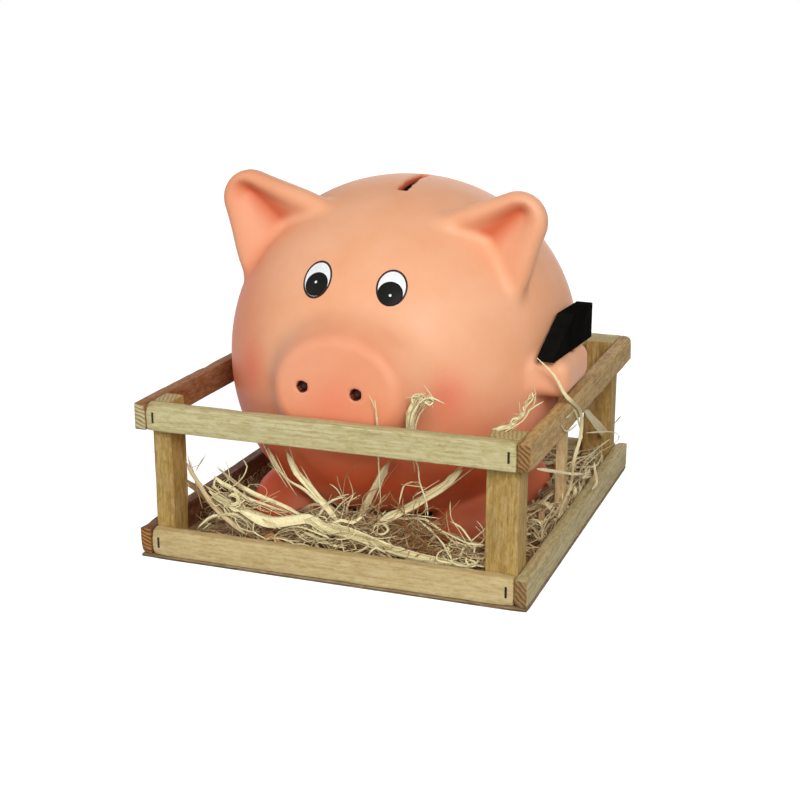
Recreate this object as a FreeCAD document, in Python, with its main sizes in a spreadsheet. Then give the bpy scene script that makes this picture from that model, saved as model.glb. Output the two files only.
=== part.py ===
import FreeCAD, Part
import os
import re

# Ball-shaped ceramic pig money box standing in a small wooden pen with straw,
# with a hammer kept upright in a holder on its flank.
# Millimetres. +X runs along the pen's front to the viewer's right, the pig faces -Y, +Z is up.
# The origin is the centre of the pen's underside.

SIZES = {
    # pen
    "board_thickness": 2.0,
    "rail_thickness": 6.8,
    "rail_height": 14.6,
    "rail_gap": 54.1,
    "post_width": 17.0,
    "left_post_width": 11.0,
    "post_depth": 15.5,
    "edge_wear": 0.7,
    # room around the pig inside the pen
    "left_gap": 1.4,
    "right_gap": 4.2,
    "snout_gap": 4.2,
    "back_gap": 2.2,
    # staples
    "crown_length": 5.8,
    "wire_width": 1.2,
    "wire_thickness": 0.7,
    "leg_length": 13.0,
    "staple_inset": 4.0,
    # pig
    "body_width": 192.8,
    "body_depth": 202.0,
    "body_height": 196.0,
    "body_sink": 6.0,
    "belly_rise": 14.0,
    "wall": 5.0,
    "face_lean": 2.0,
    "snout_reach": 12.0,
    "snout_width": 66.0,
    "snout_height": 59.0,
    "snout_flare": 5.0,
    "snout_edge": 7.0,
    "snout_rise": 4.0,
    "snout_shift": 3.2,
    "nostril_radius": 2.9,
    "nostril_depth": 5.0,
    "nostril_spacing": 29.4,
    "ear_spread": 54.5,
    "ear_rise": 66.5,
    "ear_forward": 47.5,
    "ear_tilt": 46.0,
    "ear_root_width": 62.0,
    "ear_root_sink": 12.0,
    "ear_tip_radius": 15.5,
    "ear_tip_rise": 26.5,
    "ear_thickness": 13.0,
    "ear_edge": 5.5,
    "ear_cup_depth": 7.5,
    "ear_cup_width": 36.0,
    "ear_cup_margin": 3.5,
    "ear_cup_shift": 3.0,
    "ear_back_bulge": 5.0,
    "ear_back_width": 44.0,
    "foot_radius": 24.5,
    "foot_height": 48.0,
    "foot_rise": 4.0,
    "foot_side_inset": 18.6,
    "foot_end_inset": 41.5,
    "slot_width": 6.0,
    "slot_length": 42.0,
    "slot_forward": 8.0,
    "slot_shift": 4.6,
    "stopper_hole_radius": 18.0,
    "tail_ring_radius": 8.0,
    "tail_radius": 3.2,
    "tail_rise": 16.0,
    # hammer and its holder
    "holder_reach": 5.3,
    "holder_root": 16.0,
    "holder_length": 50.0,
    "holder_height": 20.5,
    "holder_edge": 7.0,
    "holder_rail_gap": 1.2,
    "holder_forward": 3.0,
    "handle_width": 4.8,
    "handle_rail_gap": 0.6,
    "handle_forward": 21.0,
    "handle_floor_gap": 2.0,
    "handle_hole_clearance": 0.6,
    "head_length": 63.0,
    "head_width": 9.2,
    "head_height": 19.3,
    "head_face_share": 33.0,
    "head_tip_height": 2.8,
    "head_yaw": 4.5,
    "head_edge": 0.5,
    "socket_depth": 14.0,
    "seat_clearance": 0.4,
    # belly stopper
    "stopper_flange": 2.0,
    "stopper_lip": 3.5,
    "stopper_stem": 8.0,
    "stopper_clearance": 0.1,
    "stopper_grip_radius": 9.0,
    # straw bed
    "straw_height": 22.0,
    "left_straw_height": 11.0,
    "middle_straw_height": 9.0,
    "straw_slope": 4.0,
    "straw_clearance": 0.4,
    # long strips of straw that lean out of the bed in front of the pig
    "strip_width": 3.6,
    "strip_thickness": 0.8,
    "strip_setback": 13.0,
    "strip_root": 4.0,
    "strip_snout_gap": 3.0,
    "left_strip_x": 0.4,
    "left_strip_length": 52.0,
    "left_strip_lean": 46.0,
    "steep_strip_x": 3.4,
    "steep_strip_length": 46.0,
    "steep_strip_lean": 39.0,
    "right_strip_x": 10.0,
    "right_strip_length": 41.0,
    "right_strip_lean": 26.0,
    "low_strip_x": 19.0,
    "low_strip_length": 60.0,
    "low_strip_lean": 52.0,
    "tall_strip_length": 72.0,
    "flat_strip_x": 18.0,
    "flat_strip_length": 54.0,
    "flat_strip_lean": 77.0,
    "corner_strip_inset": 5.0,
    "corner_strip_length": 23.0,
    "corner_strip_lean": 38.0,
    "rail_strip_gap": 3.5,
    "rail_strip_length": 28.0,
    "rail_strip_lean": 27.0,
}

# Sizes that follow from the driving ones.
DERIVED = {
    "pen_width": "left_gap + body_width + right_gap",
    "pen_depth": "snout_gap + snout_reach + body_depth + back_gap",
    "crate_width": "pen_width + 2 * rail_thickness",
    "crate_depth": "pen_depth + 2 * rail_thickness",
    "top_rail_base": "board_thickness + rail_height + rail_gap",
    "crate_top": "top_rail_base + rail_height",
    "pig_x": "left_gap + body_width / 2 - pen_width / 2",
    "pig_y": "snout_gap + snout_reach + body_depth / 2 - pen_depth / 2",
    "pig_z": "board_thickness + body_height / 2 - body_sink",
    "belly_z": "board_thickness + belly_rise",
    "foot_z": "board_thickness + foot_rise",
    "snout_front": "snout_gap - pen_depth / 2",
    "snout_x": "pig_x + snout_shift",
    "snout_half": "snout_width / 2 + snout_flare",
    "handle_half": "handle_width * (cos(head_yaw) + sin(head_yaw)) / 2",
    "handle_x": "pen_width / 2 - handle_rail_gap - handle_half",
    "handle_y": "pig_y - handle_forward",
    "holder_base": "crate_top + holder_rail_gap",
    "holder_top": "holder_base + holder_height",
    "handle_hole_radius": "handle_width * sqrt(2) / 2 + handle_hole_clearance",
    "stem_radius": "stopper_hole_radius - stopper_clearance",
    "foot_spread": "body_width / 2 - foot_radius - foot_side_inset",
    "foot_reach": "body_depth / 2 - foot_radius - foot_end_inset",
    "foot_side": "foot_spread + foot_radius",
    "post_inner_x": "pen_width / 2 - post_width",
    "left_post_inner_x": "left_post_width - pen_width / 2",
    "post_inner_y": "pen_depth / 2 - post_depth",
    "handle_room": "handle_half + straw_clearance",
    "straw_top": "board_thickness + straw_height",
    "straw_front_back": "pig_y - ball_reach_over_straw - straw_clearance",
    "straw_back_front": "pig_y + ball_reach_over_straw + straw_clearance",
    "strip_y": "strip_setback - pen_depth / 2",
    "tall_strip_x": "snout_x + snout_half + strip_snout_gap + strip_width / 2",
    "ball_drop_to_straw": "(pig_z - board_thickness - straw_height) / (body_height / 2)",
    "ball_reach_over_straw": "body_depth / 2 * sqrt(1 - ball_drop_to_straw ^ 2)",
}

WORD = re.compile(r"[a-z][a-z_0-9]*")

doc = FreeCAD.newDocument("pig_money_box")
sheet = doc.addObject("Spreadsheet::Sheet", "Sizes")
for row, (alias, value) in enumerate(SIZES.items(), start=1):
    sheet.set(f"A{row}", alias)
    sheet.set(f"B{row}", str(value))
    sheet.setAlias(f"B{row}", alias)
doc.recompute()


def cells(text):
    """Write the size names in an expression as references to the sheet."""

    def reference(match):
        word = match.group()
        if word in DERIVED:
            return "(" + cells(DERIVED[word]) + ")"
        if word in SIZES:
            return "Sizes." + word
        return word

    return WORD.sub(reference, text)


def bind(item, **sizes):
    """Bind properties to expressions of the sheet's sizes."""
    for name, text in sizes.items():
        item.setExpression(name, cells(text))


def place(item, x="0", y="0", z="0", turn=None, axis=(0, 0, 1)):
    """Bind an object's place, and its turn about a fixed axis."""
    if turn is not None:
        item.Placement.Rotation = FreeCAD.Rotation(FreeCAD.Vector(*axis), 0)
        item.setExpression("Placement.Rotation.Angle", cells(turn))
    item.setExpression("Placement.Base.x", cells(x))
    item.setExpression("Placement.Base.y", cells(y))
    item.setExpression("Placement.Base.z", cells(z))
    return item


def box(name, length, width, height, x, y, z):
    item = doc.addObject("Part::Box", name)
    bind(item, Length=length, Width=width, Height=height)
    return place(item, x, y, z)


def ellipsoid(name, width, depth, height, x, y, z):
    item = doc.addObject("Part::Ellipsoid", name)
    item.Angle1 = -90
    bind(item, Radius1=f"({height}) / 2", Radius2=f"({width}) / 2", Radius3=f"({depth}) / 2")
    return place(item, x, y, z)


def cylinder(name, radius, height, x, y, z, turn=None, axis=(0, 0, 1)):
    item = doc.addObject("Part::Cylinder", name)
    bind(item, Radius=radius, Height=height)
    return place(item, x, y, z, turn, axis)


def fuse(name, parts):
    item = doc.addObject("Part::MultiFuse", name)
    item.Shapes = parts
    item.Refine = False
    return item


def cut(name, base, tool):
    item = doc.addObject("Part::Cut", name)
    item.Base = base
    item.Tool = tool
    item.Refine = False
    return item


def common(name, first, second):
    item = doc.addObject("Part::Common", name)
    item.Base = first
    item.Tool = second
    item.Refine = False
    return item


def worn_block(label, length, width, height, edge, x, y, z, turn=None):
    """A sawn block with all its edges rounded, its corner at the given place."""
    body = doc.addObject("PartDesign::Body", label)
    block = body.newObject("PartDesign::AdditiveBox", label + "_block")
    bind(block, Length=length, Width=width, Height=height)
    doc.recompute()
    wear = body.newObject("PartDesign::Fillet", label + "_wear")
    wear.Base = (block, ["Edge1"])
    wear.UseAllEdges = True
    bind(wear, Radius=edge)
    return place(body, x, y, z, turn)


def pen():
    """Base board, four rails below, four above and the corner posts inside them."""
    worn_block(
        "base_board", "crate_width", "crate_depth", "board_thickness", "edge_wear / 2",
        "-crate_width / 2", "-crate_depth / 2", "0",
    )
    for level, base in (("bottom", "board_thickness"), ("top", "top_rail_base")):
        for side, x in (("left", "-crate_width / 2"), ("right", "pen_width / 2")):
            worn_block(
                f"{level}_rail_{side}", "rail_thickness", "crate_depth", "rail_height", "edge_wear",
                x, "-crate_depth / 2", base,
            )
        for side, y in (("front", "-crate_depth / 2"), ("back", "pen_depth / 2")):
            worn_block(
                f"{level}_rail_{side}", "pen_width", "rail_thickness", "rail_height", "edge_wear",
                "-pen_width / 2", y, base,
            )
    for end, y in (("front", "-pen_depth / 2"), ("back", "post_inner_y")):
        for side, width, x in (
            ("left", "left_post_width", "-pen_width / 2"), ("right", "post_width", "post_inner_x"),
        ):
            worn_block(
                f"post_{end}_{side}", width, "post_depth", "crate_top - board_thickness",
                "edge_wear / 2", x, y, "board_thickness",
            )


def staples():
    """Wire staples through the rails into the posts, and through the board into the rails."""
    driven = []
    for level, base in (("bottom", "board_thickness"), ("top", "top_rail_base")):
        for end, outside, inward in (("front", "-crate_depth / 2", "1"), ("back", "crate_depth / 2", "-1")):
            for side, hand in (("left", "-1"), ("right", "1")):
                name = f"staple_{level}_{end}_{side}"
                x = f"{hand} * (pen_width / 2 - staple_inset) - wire_width / 2"
                z = f"{base} + (rail_height - crown_length) / 2"
                crown_y = f"{outside} + ({inward} - 1) / 2 * wire_thickness"
                leg_y = f"{outside} + ({inward} - 1) / 2 * leg_length"
                crown = box(name + "_crown", "wire_width", "wire_thickness", "crown_length", x, crown_y, z)
                legs = [
                    box(f"{name}_leg_{foot}", "wire_width", "leg_length", "wire_thickness", x, leg_y, z + lift)
                    for foot, lift in (("low", ""), ("high", " + crown_length - wire_thickness"))
                ]
                driven.append(fuse(name, [crown] + legs))
    group = doc.addObject("Part::Compound", "rail_staples")
    group.Links = driven

    driven = []
    for side, hand in (("left", "-1"), ("right", "1")):
        for number, step in (("one", "-1"), ("two", "0"), ("three", "1")):
            name = f"board_staple_{side}_{number}"
            x = f"{hand} * (pen_width + rail_thickness) / 2 - wire_width / 2"
            y = f"{step} * (pen_depth / 2 - post_depth) - crown_length / 2"
            crown = box(name + "_crown", "wire_width", "crown_length", "wire_thickness", x, y, "0")
            legs = [
                box(f"{name}_leg_{foot}", "wire_width", "wire_thickness", "leg_length", x, y + shift, "0")
                for foot, shift in (("near", ""), ("far", " + crown_length - wire_thickness"))
            ]
            driven.append(fuse(name, [crown] + legs))
    group = doc.addObject("Part::Compound", "board_staples")
    group.Links = driven


def ear(side, hand):
    """A rounded flap with a cupped front, built upright and leant out to its side."""
    plate = doc.addObject("Part::Wedge", f"ear_{side}_plate")
    bind(
        plate,
        Xmin="-ear_root_width / 2", Xmax="ear_root_width / 2",
        X2min="-ear_tip_radius", X2max="ear_tip_radius",
        Ymin="-ear_root_sink", Ymax="ear_tip_rise",
        Zmin="-ear_thickness", Zmax="0", Z2min="-ear_thickness", Z2max="0",
    )
    tip = cylinder(
        f"ear_{side}_tip", "ear_tip_radius", "ear_thickness", "0", "ear_tip_rise", "-ear_thickness",
    )
    flap = fuse(f"ear_{side}_flap", [plate, tip])
    flap.Refine = True
    doc.recompute()
    rim = [
        (number, sheet.get("ear_edge"), sheet.get("ear_edge"))
        for number, edge in enumerate(flap.Shape.Edges, start=1)
        if edge.BoundBox.ZLength < sheet.get("ear_edge") and edge.BoundBox.YMax > 0
    ]
    soft = doc.addObject("Part::Fillet", f"ear_{side}_soft")
    soft.Base = flap
    soft.Edges = rim
    length = "ear_tip_rise + 2 * (ear_tip_radius - ear_cup_margin)"
    back = ellipsoid(
        f"ear_{side}_back", "ear_back_width", length, "2 * ear_back_bulge", "0", "ear_tip_rise / 2", "-ear_thickness",
    )
    cup = ellipsoid(
        f"ear_{side}_cup", "ear_cup_width", length, "2 * ear_cup_depth",
        f"-({hand}) * ear_cup_shift", "ear_tip_rise / 2", "0",
    )
    cupped = cut(f"ear_{side}_cupped", fuse(f"ear_{side}_full", [soft, back]), cup)
    # The upright flap's front faces +Z; standing it up turns that front to -Y.
    stood = doc.addObject("Part::Compound", f"ear_{side}_stood")
    stood.Links = [cupped]
    stood.Placement.Rotation = FreeCAD.Rotation(FreeCAD.Vector(1, 0, 0), 90)
    leant = doc.addObject("Part::Compound", f"ear_{side}")
    leant.Links = [stood]
    turn = f"{hand} * ear_tilt + face_lean"
    x = f"pig_x + {hand} * ear_spread"
    z = f"pig_z + ear_rise - {hand} * ear_spread * sin(face_lean)"
    return place(leant, x, "pig_y - ear_forward", z, turn, (0, 1, 0))


def snout():
    """A short elliptical cone whose front rim is rounded."""
    rings = []
    for name, flare, y in (
        ("root", "snout_flare", "pig_y - body_depth / 2 + wall * 3"),
        ("face", "0", "snout_front"),
    ):
        ring = doc.addObject("Part::Ellipse", f"snout_{name}")
        bind(
            ring,
            MajorRadius=f"snout_width / 2 + {flare}",
            MinorRadius=f"snout_height / 2 + {flare}",
        )
        rings.append(place(ring, "snout_x", y, "pig_z + snout_rise", "90", (1, 0, 0)))
    cone = doc.addObject("Part::Loft", "snout_cone")
    cone.Sections = rings
    cone.Solid = True
    cone.Ruled = True
    doc.recompute()
    rim = min(range(len(cone.Shape.Edges)), key=lambda n: cone.Shape.Edges[n].BoundBox.YMax)
    rounded = doc.addObject("Part::Fillet", "snout")
    rounded.Base = cone
    rounded.Edges = [(rim + 1, sheet.get("snout_edge"), sheet.get("snout_edge"))]
    return rounded


def feet():
    """Four rounded feet, widest where they stand."""
    return [
        ellipsoid(
            f"foot_{end}_{side}", "2 * foot_radius", "2 * foot_radius", "foot_height",
            f"pig_x + {hand} * foot_spread", f"pig_y + {way} * foot_reach", "foot_z",
        )
        for end, way in (("front", "-1"), ("back", "1"))
        for side, hand in (("left", "-1"), ("right", "1"))
    ]


def above(name, floor):
    """The space over a level, wide enough for the whole pig."""
    return box(
        name, "2 * body_width", "2 * body_depth", "2 * body_height",
        "pig_x - body_width", "pig_y - body_depth", floor,
    )


def holder():
    """The lump on the flank that the hammer's handle hangs in."""
    return worn_block(
        "holder", "right_gap + holder_reach + holder_root", "holder_length", "holder_height", "holder_edge",
        "pig_x + body_width / 2 - holder_root", "handle_y - holder_forward - holder_length / 2", "holder_base",
    )


def pig():
    """The hollow ceramic pig with its slot, nostrils, belly hole and holder."""
    ball = ellipsoid("ball", "body_width", "body_depth", "body_height", "pig_x", "pig_y", "pig_z")
    body = common("flat_bellied_ball", ball, above("over_belly", "belly_z"))
    standing = common("standing_feet", fuse("feet", feet()), above("over_board", "board_thickness"))
    tail = doc.addObject("Part::Torus", "tail")
    bind(tail, Radius1="tail_ring_radius", Radius2="tail_radius")
    place(tail, "pig_x", "pig_y + body_depth / 2 - tail_radius / 2", "pig_z + tail_rise", "90", (1, 0, 0))
    flank = fuse("ball_with_holder", [body, holder()])
    outside = fuse(
        "pig_outside",
        [flank, standing, snout(), ear("left", "-1"), ear("right", "1"), tail],
    )

    hollow = ellipsoid(
        "hollow", "body_width - 2 * wall", "body_depth - 2 * wall", "body_height - 2 * wall",
        "pig_x", "pig_y", "pig_z",
    )
    inside = common("hollow_over_belly", hollow, above("over_inner_belly", "belly_z + wall"))
    slot_x = "pig_x + slot_shift - slot_width / 2 + body_height / 2 * sin(face_lean)"
    slot_y = "pig_y - slot_forward - slot_length / 2"
    slot = box("slot", "slot_width", "slot_length", "body_height", slot_x, slot_y, "pig_z")
    nostrils = [
        cylinder(
            f"nostril_{side}", "nostril_radius", "nostril_depth + snout_edge",
            f"pig_x + {hand} * nostril_spacing / 2", "snout_front + nostril_depth",
            f"pig_z + snout_rise - {hand} * nostril_spacing / 2 * sin(face_lean)", "90", (1, 0, 0),
        )
        for side, hand in (("left", "-1"), ("right", "1"))
    ]
    belly_hole = cylinder(
        "belly_hole", "stopper_hole_radius", "belly_rise + 3 * wall", "pig_x", "pig_y", "board_thickness",
    )
    handle_hole = cylinder(
        "handle_hole", "handle_hole_radius", "body_height", "handle_x", "handle_y", "board_thickness",
    )
    seat = doc.addObject("Part::Box", "hammer_seat")
    bind(
        seat,
        Length="head_width / 2 + seat_clearance + body_width",
        Width="head_length + 2 * seat_clearance",
        Height="body_height",
    )
    seat_back = "(head_width / 2 + seat_clearance)"
    seat_down = "(head_length / 2 + seat_clearance)"
    place(
        seat,
        f"handle_x - {seat_back} * cos(head_yaw) - {seat_down} * sin(head_yaw)",
        f"handle_y + {seat_back} * sin(head_yaw) - {seat_down} * cos(head_yaw)",
        "holder_top", "-head_yaw",
    )
    cutters = fuse(
        "pig_cutters", [inside, slot, belly_hole, handle_hole, seat] + nostrils,
    )
    cut("pig_body", outside, cutters)


def stopper():
    """The soft plug that closes the belly hole from below."""
    flange = cylinder(
        "stopper_flange", "stopper_hole_radius + stopper_lip", "stopper_flange",
        "pig_x", "pig_y", "belly_z - stopper_flange",
    )
    stem = cylinder("stopper_stem", "stem_radius", "stopper_stem", "pig_x", "pig_y", "belly_z")
    grip = cylinder(
        "stopper_grip", "stopper_grip_radius", "stopper_stem", "pig_x", "pig_y", "belly_z - stopper_flange",
    )
    cut("belly_stopper", fuse("stopper_plug", [flange, stem]), grip)


def hammer():
    """A head with a flat face at the back and a wedge at the front, on a square stick."""
    head = doc.addObject("PartDesign::Body", "hammer_head")
    face = head.newObject("PartDesign::AdditiveBox", "head_face")
    bind(face, Length="head_width", Width="head_face_share", Height="head_height")
    place(face, "-head_width / 2", "head_length / 2 - head_face_share", "0")
    peen = head.newObject("PartDesign::AdditiveWedge", "head_peen")
    # The wedge narrows along its own Y, so it is turned about to narrow towards the front.
    bind(
        peen,
        Xmin="-head_width / 2", Xmax="head_width / 2", X2min="-head_width / 2", X2max="head_width / 2",
        Ymin="head_face_share - head_length / 2", Ymax="head_length / 2",
        Zmin="0", Zmax="head_height", Z2min="0", Z2max="head_tip_height",
    )
    place(peen, turn="180")
    doc.recompute()
    soft = head.newObject("PartDesign::Fillet", "head_edges")
    soft.Base = (peen, ["Edge1"])
    soft.UseAllEdges = True
    bind(soft, Radius="head_edge")
    doc.recompute()
    socket = head.newObject("PartDesign::SubtractiveBox", "head_socket")
    bind(socket, Length="handle_width", Width="handle_width", Height="socket_depth")
    place(socket, "-handle_width / 2", "-handle_width / 2", "0")
    place(head, "handle_x", "handle_y", "holder_top", "-head_yaw")

    bottom = "board_thickness + handle_floor_gap"
    handle = doc.addObject("PartDesign::Body", "hammer_handle")
    stick = handle.newObject("PartDesign::AdditiveBox", "handle_stick")
    bind(stick, Length="handle_width", Width="handle_width", Height=f"holder_top + socket_depth - ({bottom})")
    place(stick, "-handle_width / 2", "-handle_width / 2", "0")
    place(handle, "handle_x", "handle_y", bottom, "-head_yaw")


def straw_heap(label, x_from, x_to, y_from, y_to, height="straw_height"):
    """One stretch of the straw bed, sloping in towards its top."""
    heap = doc.addObject("Part::Wedge", label)
    bind(
        heap,
        Xmin=x_from, Xmax=x_to, X2min=f"{x_from} + straw_slope", X2max=f"{x_to} - straw_slope",
        Ymin="board_thickness", Ymax=f"board_thickness + {height}",
        Zmin=f"-({y_to})", Zmax=f"-({y_from})",
        Z2min=f"-({y_to}) + straw_slope", Z2max=f"-({y_from}) - straw_slope",
    )
    place(heap, turn="90", axis=(1, 0, 0))


def straw():
    """The straw bed, in stretches that leave the feet and the handle free."""
    rail_x = "pen_width / 2 - straw_clearance"
    rail_y = "pen_depth / 2 - straw_clearance"
    post_x = "post_inner_x - straw_clearance"
    post_y = "post_inner_y - straw_clearance"
    feet_left = "pig_x - foot_side - straw_clearance"
    feet_right = "pig_x + foot_side + straw_clearance"
    left_post_x = "left_post_inner_x + straw_clearance"
    straw_heap("straw_front", left_post_x, post_x, f"-({rail_y})", "straw_front_back")
    straw_heap("straw_back", left_post_x, post_x, "straw_back_front", rail_y)
    side_front = f"max(-({post_y}); straw_front_back + straw_clearance)"
    side_back = f"min({post_y}; straw_back_front - straw_clearance)"
    straw_heap("straw_left", f"-({rail_x})", feet_left, side_front, side_back, "left_straw_height")
    straw_heap("straw_right_front", feet_right, rail_x, side_front, "handle_y - handle_room")
    straw_heap("straw_right_back", feet_right, rail_x, "handle_y + handle_room", side_back)
    between = "foot_spread - foot_radius - straw_clearance"
    straw_heap(
        "straw_middle", f"pig_x - ({between})", f"pig_x + {between}",
        "straw_front_back + straw_clearance", "pig_y - foot_reach", "middle_straw_height",
    )


def straw_strips():
    """Long flat strips that rise from the straw or lie over the pen's right corner, each leaning its own way."""
    strips = []
    corner_x = "post_inner_x + corner_strip_inset"
    rail_x = "pen_width / 2 + rail_thickness / 3"
    rail_y = "handle_y - head_length / 2 - rail_strip_gap"
    for name, foot, lean, length, carrier in (
        ("left_strip", ("pig_x + left_strip_x", "strip_y", "straw_top"),
         "-left_strip_lean", "left_strip_length", "straw_front"),
        ("steep_strip", ("pig_x + steep_strip_x", "strip_y", "straw_top"),
         "-steep_strip_lean", "steep_strip_length", "straw_front"),
        ("right_strip", ("pig_x + right_strip_x", "strip_y", "straw_top"),
         "right_strip_lean", "right_strip_length", "straw_front"),
        ("low_strip", ("pig_x + low_strip_x", "strip_y", "straw_top"),
         "low_strip_lean", "low_strip_length", "straw_front"),
        ("tall_strip", ("tall_strip_x", "strip_y", "straw_top"),
         "0", "tall_strip_length", "straw_front"),
        ("flat_strip", ("pig_x - flat_strip_x", "strip_y", "straw_top"),
         "-flat_strip_lean", "flat_strip_length", "straw_front"),
        ("corner_strip", (corner_x, "strip_y", "crate_top"),
         "corner_strip_lean", "corner_strip_length", "post_front_right"),
        ("rail_strip", (rail_x, rail_y, "crate_top"),
         "-rail_strip_lean", "rail_strip_length", "top_rail_right"),
    ):
        blade = box(
            name + "_blade", "strip_width", "strip_thickness", f"strip_root + {length}",
            "-strip_width / 2", "-strip_thickness / 2", "-strip_root",
        )
        leant = doc.addObject("Part::Compound", name + "_leant")
        leant.Links = [blade]
        place(leant, *foot, lean, (0, 1, 0))
        strips.append(cut(name, leant, doc.getObject(carrier)))
    group = doc.addObject("Part::Compound", "straw_strips")
    group.Links = strips


NODES = (
    ["base_board"]
    + [f"{level}_rail_{side}" for level in ("bottom", "top") for side in ("front", "back", "left", "right")]
    + [f"post_{end}_{side}" for end in ("front", "back") for side in ("left", "right")]
    + ["rail_staples", "board_staples", "pig_body", "belly_stopper", "hammer_head", "hammer_handle"]
    + ["straw_front", "straw_middle", "straw_back", "straw_left", "straw_right_front", "straw_right_back"]
    + ["straw_strips"]
)

pen()
staples()
pig()
stopper()
hammer()
straw()
doc.recompute()
straw_strips()
doc.recompute()

for item in doc.Objects:
    if "Invalid" in item.State or "Error" in item.State:
        raise RuntimeError(f"{item.Name} failed: {item.State}")
for name in NODES:
    shape = doc.getObject(name).Shape
    if shape.isNull() or not shape.isValid():
        raise RuntimeError(f"{name} has no valid shape")

os.makedirs("parts", exist_ok=True)
for name in NODES:
    node = doc.getObject(name)
    node.Label = name
    node.Shape.exportStep(f"parts/{name}.step")
    print(f"{name}: {len(node.Shape.Solids)} solids, {node.Shape.Volume / 1000:.2f} cm3")
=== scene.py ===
# Looks of a ball-shaped ceramic pig money box in a small wooden pen with straw.
# Lengths are in millimetres until a mesh is made, and in metres from then on.

import math
import random

import bpy
import numpy as np
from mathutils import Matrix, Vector, noise


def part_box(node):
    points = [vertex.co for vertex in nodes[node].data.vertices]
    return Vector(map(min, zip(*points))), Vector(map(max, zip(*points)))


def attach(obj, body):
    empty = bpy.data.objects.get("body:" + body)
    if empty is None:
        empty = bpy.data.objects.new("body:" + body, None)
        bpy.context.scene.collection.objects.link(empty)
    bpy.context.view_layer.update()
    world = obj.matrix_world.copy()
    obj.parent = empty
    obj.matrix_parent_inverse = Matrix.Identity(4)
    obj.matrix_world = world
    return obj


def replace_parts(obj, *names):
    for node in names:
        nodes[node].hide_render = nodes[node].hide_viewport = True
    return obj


MM = 0.001

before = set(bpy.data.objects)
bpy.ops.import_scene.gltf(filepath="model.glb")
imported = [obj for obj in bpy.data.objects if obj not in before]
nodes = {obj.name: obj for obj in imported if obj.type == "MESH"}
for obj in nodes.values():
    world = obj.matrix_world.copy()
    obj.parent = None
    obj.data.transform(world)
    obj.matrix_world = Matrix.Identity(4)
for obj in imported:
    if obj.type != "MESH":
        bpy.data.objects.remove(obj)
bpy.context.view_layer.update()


# Camera at the photograph's viewing angle

EYE = Vector((0.274, -0.753, 0.296))
LOOK_DOWN = 16.05
LOOK_ROUND = 20.15
LENS = 66.1
SENSOR = 36.0
FRAME_PIXELS = 800

camera_data = bpy.data.cameras.new("camera")
camera_data.lens = LENS
camera_data.sensor_width = SENSOR
camera_data.clip_start = 0.01
camera_data.clip_end = 50.0
camera = bpy.data.objects.new("camera", camera_data)
camera.location = EYE
camera.rotation_euler = (math.radians(90 - LOOK_DOWN), 0, math.radians(LOOK_ROUND))
bpy.context.collection.objects.link(camera)
bpy.context.scene.camera = camera
bpy.context.view_layer.update()


def seen_at(pixel, depth, axis=1):
    """The point in millimetres that shows at a pixel, on the plane at a depth along an axis."""
    scale = camera_data.sensor_width / camera_data.lens / FRAME_PIXELS
    across = (pixel[0] - FRAME_PIXELS / 2) * scale
    up = (FRAME_PIXELS / 2 - pixel[1]) * scale
    way = camera.matrix_world.to_3x3() @ Vector((across, up, -1))
    return (EYE + way * ((depth * MM - EYE[axis]) / way[axis])) / MM


# Meshes


def new_object(name, points, faces, materials, smooth=True):
    """An object from points in millimetres."""
    mesh = bpy.data.meshes.new(name)
    mesh.from_pydata((np.asarray(points, float) * MM).tolist(), [], faces)
    mesh.polygons.foreach_set("use_smooth", [smooth] * len(mesh.polygons))
    for material in materials:
        mesh.materials.append(material)
    mesh.validate()
    item = bpy.data.objects.new(name, mesh)
    bpy.context.collection.objects.link(item)
    return item


def point_values(item, name, values):
    """Keep one number for each point, for a material to read."""
    layer = item.data.attributes.new(name, "FLOAT", "POINT")
    layer.data.foreach_set("value", np.asarray(values, np.float32))


# Materials


def linear(red, green, blue):
    """A colour as written on screen, from 0 to 255, in linear light."""
    out = []
    for level in (red, green, blue):
        share = level / 255
        out.append(share / 12.92 if share <= 0.04045 else ((share + 0.055) / 1.055) ** 2.4)
    return (*out, 1.0)


def set_inputs(tree, node, inputs):
    """Set each of these inputs of a node, or link it to another node's output."""
    for name, value in inputs.items():
        if isinstance(value, bpy.types.NodeSocket):
            tree.links.new(value, node.inputs[name])
        else:
            node.inputs[name].default_value = value


def add_node(tree, kind, out, inputs, operation=None):
    """A new node with these inputs; returns one of its outputs."""
    node = tree.nodes.new(kind)
    if operation:
        node.operation = operation
    set_inputs(tree, node, inputs)
    return node.outputs[out]


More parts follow.
